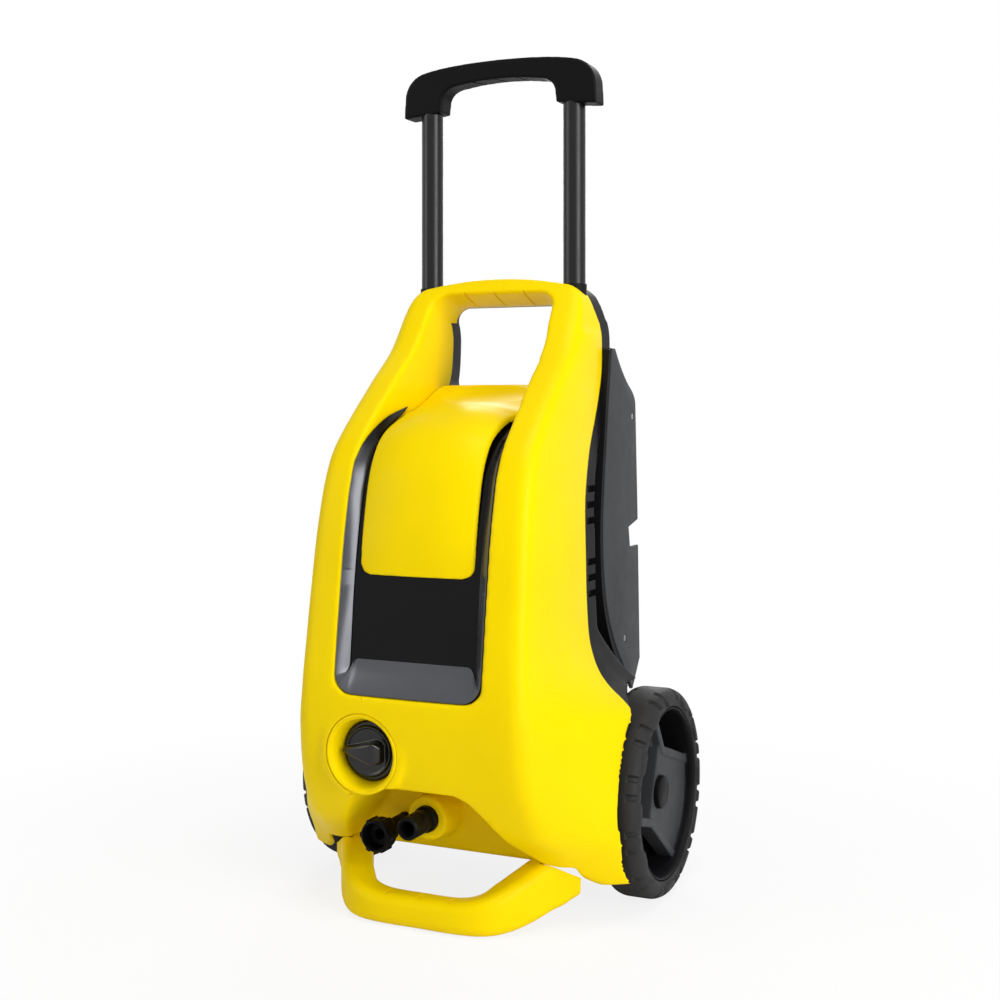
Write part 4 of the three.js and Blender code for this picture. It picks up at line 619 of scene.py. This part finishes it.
# ---------------- trim
# A U-shaped bezel in silver lacquer on moulded ABS, pressed into the recess round the window. It falls from
# the housing's face to the window, broad at the foot and drawn out into a point at the top of each side.
TRIM_HORN = [(420, 161), (432, 150), (445, 131), (457, 105), (465, 72)]
TRIM_SIDE, TRIM_FOOT, TRIM_LIP, TRIM_ROUND, TRIM_LOW = 9.5, 30, 1.2, 19, 208.6
TRIM_TIP, TRIM_TAPER = 468, 36
# Silver lacquer: a grey metallic sheen that brightens where the bevel meets a lamp.
silver_lacquer = moulded(
    "silver_lacquer", "silver_trim", "#4E4F53", "#494A4E", 0.22, 0.5, 0.01, 0.5, 0.6, 0.01)
# Painted shade and reflection: above 412 mm the silver trim's colour fades to near black at its points.
tree = silver_lacquer[0].node_tree
shader = next(node for node in tree.nodes if node.type == "BSDF_PRINCIPLED")
level = add_node(tree, "SeparateXYZ", {}, {0: add_node(tree, "TexCoord").outputs["Object"]})
# The mask of the painted shade, rising from 412 to 434 mm up.
painted_shade_mask = add_node(tree, "MapRange", {1: 0.412, 2: 0.434}, {0: level.outputs["Z"]})
lacquer = shader.inputs["Base Color"].links[0].from_socket
blend = add_node(tree, "Mix", {"data_type": "RGBA", 7: linear("#0A0A0C")}, {0: painted_shade_mask.outputs[0], 6: lacquer})
tree.links.new(blend.outputs[2], shader.inputs["Base Color"])


def trim_section(x, z, side, foot):
    """The wedge at one place: its outer edge, its lip, and its inner edge on the window."""
    skin = -between(CORNER_DEPTH, z) - FRONT_CROWN * (1 - (x / between(CORNER_HALF, z)) ** 2)
    horn = -between(TRIM_HORN, z) if z > TRIM_HORN[0][0] else skin + TRIM_LIP
    front = min(horn, min(window_at(z + foot), window_at(z)) - 1.3)
    back = window_at(z + foot) - FIT
    sign = math.copysign(1, x)
    lip = (x - sign * 0.8 * min(1, abs(side)), front, z + 0.8 * min(1, foot))
    inner = [(x - side, back - 0.8, z + foot), (x - side, back, z + foot)]
    return [(x, front, z), lip] + inner + [(x, window_at(z) - FIT, z)]


stations = []
for z in range(465, 230, -4):
    side = TRIM_SIDE * min(1, (TRIM_TIP - z) / TRIM_TAPER)
    stations.append((opening_half(window_at(z)) - FIT, z, side, 0))
half = opening_half(-200) - FIT
for step in range(1, 17):
    turn = step / 16 * math.pi / 2
    stations.append((
        half - TRIM_ROUND * (1 - math.cos(turn)), TRIM_LOW + TRIM_ROUND * (1 - math.sin(turn)),
        TRIM_SIDE * math.cos(turn) ** 1.5, TRIM_FOOT * math.sin(turn) ** 1.5))
stations += [(half * share, TRIM_LOW, 0, TRIM_FOOT) for share in (0.6, 0.45, 0.3, 0.15)]
stations += [(-x, z, -side, foot) for x, z, side, foot in reversed(stations)]
sections = [trim_section(*station) for station in stations]
last = len(sections) - 1
trim = wrapped("trim", 5, last, lambda u, v: sections[round(v * last)][round(u * 5) % 5])
shaped(trim, "BEVEL", width=0.0003, segments=2, limit_method="ANGLE", angle_limit=math.radians(40))
finished(trim, 35, "window_trim", silver_lacquer, "trim_bezel")

# ---------------- switch
# The bowl is a ring of the same yellow ABS, pressed in from the front. Its lip stands proud inside the
# housing's own rim. The knob is black nylon with a wedge grip, on a spindle to the switch box.
DIAL_FRONT = 188
bowl = turned("bowl", [
    (5, -180.7), (27.6, -180.7), (27.8, -187), (30.9, -199.4), (31.4, -201.2), (32.2, -202), (33, -202.1),
    (33.3, -203.1), (34.2, -203.5), (35.2, -203.2), (36.2, -202), (36.2, -178.3), (5, -178.3)],
    "Y", SWITCH_AT, 128)
finished(bowl, 25, "switch_bowl", yellow_abs, "switch_bezel")

# Glass-filled nylon: almost black, with a dull, slightly rough sheen.
black_grip = moulded("black_glass_filled_nylon", "black_grip", "#0D0D0E", "#0B0B0C", 0.42, 0.6, 0.06, 0.07)
WEDGE_TIP, WEDGE_LENGTH = -24, 40
WEDGE_HALF = [(-24, 2.4), (-8, 6), (7, 10), (12, 10), (16, 7)]
WEDGE_HEIGHT = [(-24, 4.5), (-8, 9.8), (5, 12.4), (11, 11.6), (16, 7)]


def wedge_at(u, v):
    """The wedge grip from its narrow tip to its blunt tail, with a ridge along its middle."""
    x = WEDGE_TIP + WEDGE_LENGTH * v
    deep = between(WEDGE_HEIGHT, x) + 4
    up, share = rounded(u, 2 * between(WEDGE_HALF, x), deep, 1.6)
    share = share / deep + 0.5
    ridge = 1.2 * max(0, share - 0.5) * max(0, 1 - abs(up) / 8)
    return SWITCH_X + x, -DIAL_FRONT + 2 - deep * share - ridge, SWITCH_Z + up * (1.08 - 0.18 * share)


knob = turned("knob", [
    (0, -181.3), (26.8, -181.3), (26.8, -186.4), (26, -187.4), (22.8, -187.4), (22.6, -190), (21.8, -190.8),
    (20.8, -190.6), (20.2, -189.6), (0, -189.6)], "Y", SWITCH_AT, 128)
combine(knob, wrapped("wedge", 48, 40, wedge_at), "UNION")
combine(knob, rod("Y", -DIAL_FRONT + 4, -152, 4, SWITCH_AT, facets=48), "UNION")
softened(knob, 0.5, 8, 0.5)
# The knob is polished, so its ridge and edges carry thin bright lines.
black_polish = moulded(
    "black_polished_nylon", "black_grip", "#0B0B0D", "#09090B", 0.2, 2.0, 0.01, 0.5, scuffed=0.02)
finished(knob, 60, "switch_knob", black_polish, "switch_dial", body="dial")

# ---------------- switch marks
# A plain 0 for off, beside the bowl, and a plain I for on, above it. Both are moulded with the housing in its
# plastic, and stand only a hair above it.
MARK_SUNK = 0.75


def on_skin(mark, name):
    """Lays a flat mark on the housing's front skin."""
    for vertex in mark.data.vertices:
        x, z = vertex.co.x * 1000, vertex.co.z * 1000
        skin = between(CORNER_DEPTH, z) + FRONT_CROWN * (1 - (x / between(CORNER_HALF, z)) ** 2)
        vertex.co.y -= (skin - MARK_SUNK) / 1000
    return finished(mark, 40, name, yellow_abs)


def oval_at(u, v):
    """A ring bent into an upright oval."""
    across, along = math.cos(math.tau * v), math.sin(math.tau * v)
    wide, thick = 0.7 * math.cos(math.tau * u), 0.9 * math.sin(math.tau * u)
    return SWITCH_X - 49 + (2.6 + wide) * across, thick, SWITCH_Z + 2 + (4 + wide) * along


def bar_at(u, v):
    """A short upright bar with a round back."""
    wide, thick = 0.8 * math.cos(math.tau * u), 0.9 * math.sin(math.tau * u)
    return SWITCH_X + 2 + wide, thick, SWITCH_Z + 44 + 7 * v


on_skin(wrapped("off", 16, 64, oval_at), "off_mark")
on_skin(wrapped("on", 16, 8, bar_at), "on_mark")

# ---------------- water connections
# The outlet is a hollow nipple, screwed into the pump head through its boss. The inlet has a ribbed union nut
# that turns on the spigot's shoulder. All three are black glass-filled nylon.
NUT_RIBS, RIB_AT, RIB_RADIUS = 6, 14, 2.6
outlet = turned("outlet", [
    (6.5, -112), (12, -112), (12, -154.4), (11.6, -155), (9.7, -156), (9.7, -160), (10.5, -161), (10.5, -168),
    (9.9, -168.6), (9.9, -170.4), (10.5, -171), (10.5, -186.5), (9.3, -188), (7.5, -188), (6.5, -185)],
    "Y", OUTLET_AT)
finished(outlet, 30, "outlet_tube", black_grip, "outlet_nipple")

spigot = turned("spigot", [(5, -108), (8, -108), (8, -164), (10, -164), (10, -168), (5, -168)], "Y", INLET_AT)
finished(spigot, 30, "inlet_tube", black_grip, "inlet_spigot")

nut = turned("nut", [
    (12, -178), (13.3, -178), (14.5, -176.6), (14.5, -161), (11.5, -159), (10.5, -152), (8.3, -152),
    (8.3, -163.7), (12, -163.7)], "Y", INLET_AT)
for rib in range(NUT_RIBS):
    x, _, z = about("Y", INLET_AT, RIB_AT, rib / NUT_RIBS, 0)
    combine(nut, rod("Y", -176.8, -161, RIB_RADIUS, (x, z), facets=24), "UNION")
combine(nut, rod("Y", -180, -150, 16.1, INLET_AT), "INTERSECT")
softened(nut, 0.6, 3, 0.6)
finished(nut, 50, "inlet_union", black_grip, "inlet_nut", body="union_nut")

# ---------------- foot bar
# A U-shaped bar of yellow ABS that the machine stands on in front and is lifted by. It is one fat rounded
# section swept round both corners. Its legs climb from the floor to the skirt, where they are screwed.
# Half of the route, from the middle: out, ahead, underside, top and width.
FOOT_PATH = [
    (0, 172, 0.2, 28, 30), (38, 172, 0.2, 29, 30), (61, 167, 0.5, 35, 30), (75, 154, 2, 44, 30),
    (86, 138, 6, 52, 30), (97, 118, 12, 60, 30), (109, 104, 17, 62, 30), (122, 96, 24, 60, 24)]
FOOT_ROUTE = [(-half[0],) + half[1:] for half in reversed(FOOT_PATH[1:])] + FOOT_PATH
FOOT_ROUND = 10


def foot_at(u, v):
    """The bar's section at one place of its route."""
    x, ahead, low, high, width = drawn(FOOT_ROUTE, v)
    before, after = drawn(FOOT_ROUTE, v - 0.004), drawn(FOOT_ROUTE, v + 0.004)
    run = Vector((after[0] - before[0], before[1] - after[1])).normalized()
    out, up = rounded(u, width, high - low, min(FOOT_ROUND, (high - low) / 2 - 0.5))
    return x + run.y * out, -ahead - run.x * out, (low + high) / 2 + up


bar = softened(wrapped("bar", 48, 150, foot_at), 1.6, 5, 0.45)
for x in GROOVES:
    combine(bar, rod("Y", -182, -161, 1.1, (x, 28.2), facets=24))
room = combine(body_form(-FIT, rows=80), underside(clear=FIT))
combine(room, alcove(-FIT, -ALCOVE_BACK - FIT))
combine(bar, room)
finished(bar, 45, "foot_bar_moulding", yellow_abs, "foot_bar")

# ---------------- pull handle
# Two steel tubes in satin black paint carry an arched grip of glass-filled nylon. Its ends are pressed over
# the tubes, and three short grooves lie under the fingers. The tubes run in bushes and have stop collars.
TUBE_RADIUS, TUBE_FOOT, TUBE_TOP = 11, 431.7, 775
# Satin black paint on steel: a soft grey streak down each tube.
tube_paint = moulded("satin_tube_paint", "black_tube", "#0D0D0F", "#0B0B0D", 0.3, 0.4, 0.02, 0.3)
# Black polypropylene: a matt charcoal with a coarse grain.
black_pp = moulded("black_polypropylene", "black_housing", "#161618", "#121214", 0.46, 0.8, 0.08, 0.08)
GRIP_HALF, GRIP_FOOT, GRIP_TOP, GRIP_DEPTH, HAND_HALF, HAND_TOP = 105, 758.5, 810, 23, 62, 790

for side, x in zip(("left", "right"), TUBES_AT):
    tube = turned("tube", [
        (9.5, TUBE_FOOT), (10.6, TUBE_FOOT), (TUBE_RADIUS, TUBE_FOOT + 0.4), (TUBE_RADIUS, TUBE_TOP - 0.4),
        (10.6, TUBE_TOP), (9.5, TUBE_TOP)], "Z", (x, 0), 128)
    finished(tube, 30, "steel_tube_" + side, tube_paint, "handle_tube_" + side, body="pull_handle")
    collar = turned("collar", [
        (11.3, 431.7), (12.6, 431.7), (13.2, 432.4), (13.2, 445), (12.6, 445.7), (11.3, 445.7)], "Z", (x, 0))
    finished(collar, 30, "stop_collar_" + side, black_pp, "tube_stop_" + side, body="pull_handle")
    bush = turned(
        "bush", [(11.4, 559.3), (12.2, 559.3), (12.2, 584.5), (11.9, 585), (11.4, 585)], "Z", (x, 0))
    finished(bush, 30, "guide_bush_" + side, black_pp, "tube_guide_" + side)


top_side = [(GRIP_HALF, GRIP_FOOT), (GRIP_HALF - 1, GRIP_FOOT + 22)]
top_side += bend(top_side[-1], (GRIP_HALF - 4, GRIP_TOP - 12), (GRIP_HALF - 20, GRIP_TOP - 7))
top_side += bend(top_side[-1], (60, GRIP_TOP - 0.5), (0, GRIP_TOP))
hand_side = [(0, HAND_TOP + 1)] + bend((0, HAND_TOP + 1), (24, HAND_TOP + 1), (HAND_HALF - 20, HAND_TOP - 2))
hand_side += bend(hand_side[-1], (HAND_HALF - 2, HAND_TOP - 3), (HAND_HALF, HAND_TOP - 16))
hand_side += [(HAND_HALF + 1, GRIP_FOOT + 4)]
left_side = [(-x, z) for x, z in top_side[-2::-1] + hand_side[:0:-1]]
grip = pushed("grip", top_side + left_side + hand_side, "Y", -GRIP_DEPTH / 2, GRIP_DEPTH / 2)
softened(grip, 1.2, 7, 0.5)
for x in (-24, 0, 24):
    groove = rod("Y", -GRIP_DEPTH, GRIP_DEPTH, 1.3, (x, HAND_TOP + 0.4), facets=24)
    for vertex in groove.data.vertices:
        vertex.co.x += 0.35 * (vertex.co.y - TUBES_BEHIND / 1000)
    combine(grip, groove)
for x in TUBES_AT:
    combine(grip, rod("Z", GRIP_FOOT - 5, TUBE_TOP + FIT, TUBE_RADIUS + FIT, (x, 0)))
finished(grip, 45, "grip_moulding", black_grip, "handle_grip", body="pull_handle")

# ---------------- rear housing
# The other half of the body, in black polypropylene. A slotted band lies behind the seam. Then it steps in to
# a deep tub with the storage bay at its back, where ledges frame the grey cheeks. It carries the axle.
BACK_LINE = [
    (200, 64), (218, 62), (240, 52), (262, 45), (300, 40), (430, 40), (470, 26), (486, 16), (515, 20),
    (560, 27)]
TUB_HALF, TUB_ROUND, TUB_FRONT, BASE_BACK, BASE_TOP = 95, 12, -75, 88, 207.7
BAND, BAND_INSET, SLOT_HALF, SILL_LOW, LEDGE_FOOT, REAR_FLARE = 30, 1.5, 3.2, SILL - 7, 199, 0.13
STOP_BORE, TUBE_BORE, BUSH_BORE, AXLE_BORE = 13.6, 11.4, 12.5, 5.3


def tub(inset, front):
    """The deep part up to the top of the body, with the low base under the storage bay."""
    def upper(u, v):
        z = FLOOR + inset + (CROWN + 8 - FLOOR - inset) * v
        back = between(BACK_LINE, z) - inset
        half = min(TUB_HALF, between(SIDE_HALF, z) - BAND_INSET) - inset
        x, y = rounded(u, 2 * half, back - front, TUB_ROUND - inset)
        return x, (back + front) / 2 + y, z

    def lower(u, v):
        z = FLOOR + inset + (BASE_TOP - FLOOR - 2 * inset) * v
        near, far = 16, BASE_BACK - inset
        x, y = rounded(u, 2 * (TUB_HALF - inset), far - near, TUB_ROUND)
        return x, (near + far) / 2 + y, z

    deep = wrapped("tub", 48, 120, upper)
    combine(deep, pushed("arch", arch_outline(BAND_INSET + inset), "Y", -REACH, 120), "INTERSECT")
    return combine(deep, wrapped("base", 48, 1, lower), "UNION")


def cheek_line():
    """Side view of a storage cheek."""
    line = [(26, 521), (22, 497)] + bend((22, 497), (14, 450), (4, 375)) + bend((4, 375), (-2, 330), (8, 285))
    line += bend((8, 285), (20, 240), (55, 209))
    line += [(84, 177), (106, 206), (101, 323), (77, 323), (73, 343), (100, 349), (93, 468)]
    return line + bend((93, 468), (92, 476), (78, 484)) + bend((78, 484), (56, 496), (34, 523))


def ledge(sign):
    """The ledge in front of a cheek and under it."""
    start, end = sorted((sign * (TUB_HALF - 2), sign * 107))

    def block(back, down, grown=5):
        outline = [(y - back, z - down) for y, z in cheek_line()]
        return pushed("edge", outline, "X", start - grown, end + grown)

    edge = combine(block(6, 3, 0), block(6, 0, 0), "UNION")
    combine(edge, block(FIT, 0))
    combine(edge, block(0, FIT))
    behind = [(-60, 100), (-60, LEDGE_FOOT), (70, LEDGE_FOOT), (70, 600), (220, 600), (220, 100)]
    return combine(edge, pushed("back", behind, "X", start - 5, end + 5))


rear = tub(0, TUB_FRONT)
outline = [(-80, 60), (-80, 262), (-30, 262), (-10, 246), (6, 226), (16, 205), (19, 60)]
limits = combine(seam_side(BAND, True), pushed("fender", outline, "X", -200, 200), "UNION")
band = combine(combine(body_form(BAND_INSET, rows=100), wells(ARCH_RADIUS)), limits, "INTERSECT")
combine(rear, band, "UNION")
combine(rear, pushed("low", [(-REACH, -20), (-REACH, FLOOR), (60, FLOOR), (60, -20)]))
softened(rear, 2.0, 6, 0.35)
inside = tub(WALL, TUB_FRONT - 60)
behind_band = combine(body_form(BAND_INSET + WALL, rows=60), seam_side(BAND - WALL, True), "INTERSECT")
combine(inside, behind_band, "UNION")
combine(inside, wells(ARCH_RADIUS + WALL, TUB_HALF - WALL))
combine(inside, opening(SILL_LOW, 2.2, -60, flare=REAR_FLARE))
combine(inside, gathered([rod("Z", 446, 470, STOP_BORE, (x, 0)) for x in TUBES_AT]))
combine(rear, inside)
combine(rear, seam_side(FIT, False), "INTERSECT")
combine(rear, opening(SILL_LOW, 0, flare=REAR_FLARE))
combine(rear, combine(opening(SILL_LOW, WALL + FIT), lining(FIT), "INTERSECT"))
combine(rear, gathered([ledge(1), ledge(-1)]), "UNION")
cuts = []
for middle in (372, 303):
    for z in (middle - 15, middle, middle + 15):
        end = between(SEAM, z) + BAND + 1
        low, high = z - SLOT_HALF, z + SLOT_HALF
        slot = [(end - 22, low), (end - 22, high), (end, high), (end, low)]
        cuts += [pushed("slot", slot, "X", start, start + 33) for start in (-130, TUB_HALF + 2)]
for z in (296, 313, 330, 347, 364):
    low, high = z - SLOT_HALF, z + SLOT_HALF
    cuts.append(pushed("vent", [(-42, low), (-42, high), (42, high), (42, low)], "Y", 30, 45))
combine(rear, gathered(cuts))
combine(rear, gathered([rod("Z", 440, 560, TUBE_BORE, (x, 0)) for x in TUBES_AT]))
holes = [rod("Z", 559, 640, BUSH_BORE, (x, 0)) for x in TUBES_AT]
holes += [rod("Y", 40, 95, 4.5, (-60, 130)), rod("X", -200, 200, AXLE_BORE, AXLE)]
combine(rear, gathered(holes))
finished(rear, 40, "rear_housing_moulding", black_pp, "rear_housing")

# ---------------- storage cheeks and tray
# Two side plates and the floor of the storage bay, in grey polypropylene. Each cheek is screwed on, stands
# off the tub on two spacers, and has a notch for the cable. The tray has an upturned lip and drain slots.
CHEEK_IN, CHEEK_OUT, CHEEK_SCREWS = 104, 108, {"low": (62, 232), "high": (84, 455)}
# Grey polypropylene is a matt mid-grey with the same grain, and turned steel gives the screws a bright glint.
grey_pp = moulded("grey_polypropylene", "grey_housing", "#3F4042", "#3A3B3D", 0.5, 0.8, 0.08, 0.12)
steel = moulded("turned_steel", "steel", "#A9ABAE", "#9C9EA1", 0.34, 0.4, 0.02, 0.5, 1.0)

for side, sign in (("left", -1), ("right", 1)):
    start, end = sorted((sign * CHEEK_IN, sign * CHEEK_OUT))
    cheek = pushed("plate", cheek_line(), "X", start, end)
    shaped(cheek, "BEVEL", width=0.001, segments=3, limit_method="ANGLE", angle_limit=math.radians(50))
    start, end = sorted((sign * (TUB_HALF + FIT), sign * (CHEEK_IN + 1)))
    spacers = [rod("X", start, end, 6, (31, z), facets=48) for z in (262, 390)]
    start, end = sorted((sign * 56, sign * (CHEEK_IN + 1)))
    spacers.append(pushed("web", [(40.3, 306), (40.3, 420), (44.3, 420), (44.3, 306)], "X", start, end))
    combine(cheek, gathered(spacers), "UNION")
    start, end = sorted((sign * (CHEEK_OUT - 1), sign * (CHEEK_OUT + 1)))
    combine(cheek, gathered([rod("X", start, end, 4, at, facets=48) for at in CHEEK_SCREWS.values()]))
    finished(cheek, 35, "cheek_plate_" + side, grey_pp, "cheek_" + side)
    start, end = sorted((sign * (CHEEK_OUT - 0.8), sign * (CHEEK_OUT + 1)))
    for level, (y, z) in CHEEK_SCREWS.items():
        head = rod("X", sign * 106.9, sign * 107.6, 3.4, (y, z), 3.1, 48)
        slot = [(y - 2.4, z - 0.5), (y - 2.4, z + 0.5), (y + 2.4, z + 0.5), (y + 2.4, z - 0.5)]
        combine(head, pushed("slot", slot, "X", start, end))
        finished(head, 30, f"cheek_screw_{level}_{side}", steel)

outline = [(64.3, 208), (64.3, 212), (88, 212), (88, 224), (92, 224), (92, 208)]
tray = pushed("tray", outline, "X", FIT - CHEEK_IN, CHEEK_IN - FIT)
shaped(tray, "BEVEL", width=0.0008, segments=2, limit_method="ANGLE", angle_limit=math.radians(50))


def drain_at(x):
    """A slot with round ends through the tray."""
    def place(u, v):
        across, along = rounded(u, 30, 6, 2.9)
        return x + across, 76 + along, 200 + 20 * v

    return wrapped("drain", 32, 1, place)


combine(tray, gathered([drain_at(x) for x in (-60, 0, 60)]))
finished(tray, 35, "bay_tray", grey_pp, "storage_tray")

# ---------------- tyres
# Solid black rubber, stretched over the rim. Its crown is smooth, and over each shoulder lie long and short
# lugs in turn, each with a round end and a step of about two millimetres.
# Tread rubber: dull black with a faint bloom, so the lugs read by their shadows.
tread_rubber = moulded("tread_rubber", "tread_rubber", "#2B2B2C", "#232324", 0.6, 0.5, 0.1, 0.2)
TYRE_RADIUS, TYRE_INNER, TYRE_OUTER, RIM_SEAT, STEP, LUGS = 98, 133, 178, 81.3, 2.4, 12
LUG_PITCH = math.tau * TYRE_RADIUS / LUGS
# The long and the short lug: place in the pitch, half length, reach over the shoulder, and round of the end.
LUG_KINDS = [(0, 14.5, 28, 9), (LUG_PITCH / 2, 6, 24, 5)]


def lug_height(along, across):
    """How far a lug stands out at a place of the unrolled tread."""
    most = min(max(0.5 - (abs(across) - 10) / 1.1, 0), 1)
    for start, half, reach, corner in LUG_KINDS:
        off = (along - start + LUG_PITCH / 2) % LUG_PITCH - LUG_PITCH / 2
        a, b = abs(off) - half + corner, abs(across) - reach + corner
        outside = math.hypot(max(a, 0), max(b, 0)) + min(max(a, b), 0) - corner
        most = max(most, min(max(0.5 - outside / 1.1, 0), 1))
    return STEP * most


tread_radius, side_at = TYRE_RADIUS - STEP, (TYRE_OUTER - TYRE_INNER) / 2 - STEP
half_section = [(i * 0.95, tread_radius) for i in range(11)]
wall_top = tread_radius - 11
half_section += bend((9.5, tread_radius), (side_at - 0.5, tread_radius - 0.5), (side_at, wall_top), 18)
for i in range(1, 5):
    half_section.append((side_at - 0.7 * i / 4, wall_top + (RIM_SEAT + 11 - tread_radius) * i / 4))
section = [(-a, r) for a, r in reversed(half_section[1:])] + half_section
across_at = [0.0]
for (a0, r0), (a1, r1) in zip(section, section[1:]):
    across_at.append(across_at[-1] + math.hypot(a1 - a0, r1 - r0))
middle_at = across_at[len(section) // 2]


def tyre_at(u, v):
    """The tyre's skin: round its section from one seat to the other, and round the wheel."""
    i = round(u * len(section)) % len(section)
    (a0, r0), (a1, r1) = section[max(i - 1, 0)], section[min(i + 1, len(section) - 1)]
    run, across = math.hypot(a1 - a0, r1 - r0), across_at[i] - middle_at
    raised = lug_height(v * math.tau * TYRE_RADIUS + (LUG_PITCH / 2 if across < 0 else 0), across)
    a, r = section[i][0] - (r1 - r0) / run * raised, section[i][1] + (a1 - a0) / run * raised
    return about("X", AXLE, r, v, (TYRE_INNER + TYRE_OUTER) / 2 + a)


def both_sides(piece, degrees, name, finish, *replaced):
    """Finishes a piece for the right wheel, and a mirrored one with a mesh of its own for the left."""
    other = piece.copy()
    other.data = piece.data.copy()
    bpy.context.collection.objects.link(other)
    for vertex in other.data.vertices:
        vertex.co.x = -vertex.co.x
    other.data.flip_normals()
    for half, side in ((piece, "_right"), (other, "_left")):
        finished(half, degrees, name + side, finish, *[node + side for node in replaced], body="wheel" + side)
    return piece, other


both_sides(wrapped("tyre", len(section), 720, tyre_at), 50, "tread", tread_rubber, "tyre")

# ---------------- rims
# Grey polypropylene in a black hoop. The flat disc is pierced by two openings with kinked edges, and a rib
# follows each kink. The raised middle ends in a wall that faces forwards. A black cap covers the axle's end.
RIM_OPENINGS = [[(-12.4, 76.5), (10.1, 41.5), (74.3, 20.6)], [(32, -70.5), (-26.3, -27.5), (-73.9, -13.9)]]
RIM_OUTER, DISC, RAISED, CAP_AT, HOOP_RADIUS = 175, 154.5, 167, 170, 76.6


def beyond(edge, moved, far=130):
    """Side view of what lies outside an opening's kinked edge, moved outwards."""
    a, b, c = [Vector(p) for p in edge]
    out = (a + c).normalized()
    first, second = (b - a).normalized().orthogonal(), (c - b).normalized().orthogonal()
    first, second = [n if n.dot(out) > 0 else -n for n in (first, second)]
    kink = b + (first + second).normalized() * moved / max((first + second).normalized().dot(first), 0.4)
    start, end = a + first * moved + (a - b).normalized() * 40, c + second * moved + (c - b).normalized() * 40
    return [(AXLE_Y + p.x, AXLE_Z + p.y) for p in (start, kink, end, end + out * far, start + out * far)]


def facing_disc(radius, start, end, moved):
    """A round plate without the openings, whose edges are moved outwards."""
    plate = rod("X", start, end, radius, AXLE, facets=144)
    for edge in RIM_OPENINGS:
        combine(plate, pushed("gap", beyond(edge, moved), "X", start - 5, end + 5))
    return plate


rim = turned("rim", [
    (77.5, 139), (81, 139), (81, 172), (80.6, RIM_OUTER - 0.4), (79.6, RIM_OUTER), (78.4, RIM_OUTER - 1),
    (77.5, RIM_OUTER - 4)], "X", AXLE, 144)
outline = ((-60, -108), (-31, -32), (-1, 47), (12, 90), (-130, 90), (-130, -108))
wall = [(AXLE_Y + y, AXLE_Z + z) for y, z in outline]
web = facing_disc(78, DISC - 4, DISC + 3, 0)
pocket = combine(facing_disc(79, DISC - 10, DISC + 10, -8), pushed("front", wall, "X", 130, 180), "INTERSECT")
low = pushed("low", [(-110, -10), (-110, AXLE_Z + 44), (110, AXLE_Z + 44), (110, -10)], "X", 130, 180)
combine(web, combine(pocket, low, "INTERSECT"))
combine(rim, web, "UNION")
combine(rim, combine(facing_disc(78, DISC, RAISED, 0), facing_disc(90, DISC - 5, RAISED + 5, -8)), "UNION")
middle = combine(facing_disc(78, 143, RAISED - 2, -7), pushed("front", wall, "X", 130, 180))
combine(rim, middle, "UNION")
combine(rim, rod("X", 131.3, DISC, 13, AXLE), "UNION")
combine(rim, rod("X", 164, 180, 15.8, AXLE))
softened(rim, 0.95, 2, 0.5)
combine(rim, rod("X", 120, 180, AXLE_BORE, AXLE))
for piece in both_sides(rim, 35, "disc", grey_pp, "rim"):
    piece.data.materials.append(black_pp[0])
    for face in piece.data.polygons:
        y, z = face.center.y * 1000 - TUBES_BEHIND - AXLE_Y, face.center.z * 1000 - AXLE_Z
        face.material_index = int(math.hypot(y, z) > HOOP_RADIUS)

# Painted shade: a black plate closes the hoop behind the disc, so the openings read dark.
plate = turned("plate", [(13.2, 140.4), (77.4, 140.4), (77.4, 142.6), (13.2, 142.6)], "X", AXLE)
both_sides(plate, 30, "shade_plate", black_pp)

cap = turned("cap", [
    (0, 167.3), (5.3, 167.3), (5.3, 164.3), (15.5, 164.3), (15.5, CAP_AT - 1.8), (15, CAP_AT - 0.7),
    (13.6, CAP_AT), (0, CAP_AT)], "X", AXLE)
both_sides(cap, 30, "cap", black_grip, "hub_cap")

pin = turned("axle", [(0, -167), (4.4, -167), (5, -166.4), (5, 166.4), (4.4, 167), (0, 167)], "X", AXLE, 64)
finished(pin, 30, "axle_rod", steel, "axle")

# ---------------- motor and pump
# The motor stands on its pump inside the body: cast aluminium housings, steel shaft, swash plate and pistons,
# a fan, and a grey capacitor beside them. Little is seen of them, so their solids stay as they are.
# Cast aluminium: a bright grey with a rough as-cast skin.
cast_alloy = moulded("cast_aluminium", "cast_alloy", "#BDBFC2", "#AEB0B3", 0.5, 0.7, 0.1, 0.5, 1.0)
finish_of = {slot: material for material, slot in (cast_alloy, steel, black_pp, grey_pp)}
for entry in frame["record"]["subparts"]:
    if entry["material_slot"] in finish_of:
        mesh = nodes[entry["node"]].data
        mesh.materials.clear()
        mesh.materials.append(finish_of[entry["material_slot"]])

# ---------------- end
bpy.context.scene.view_settings.view_transform = "Standard"
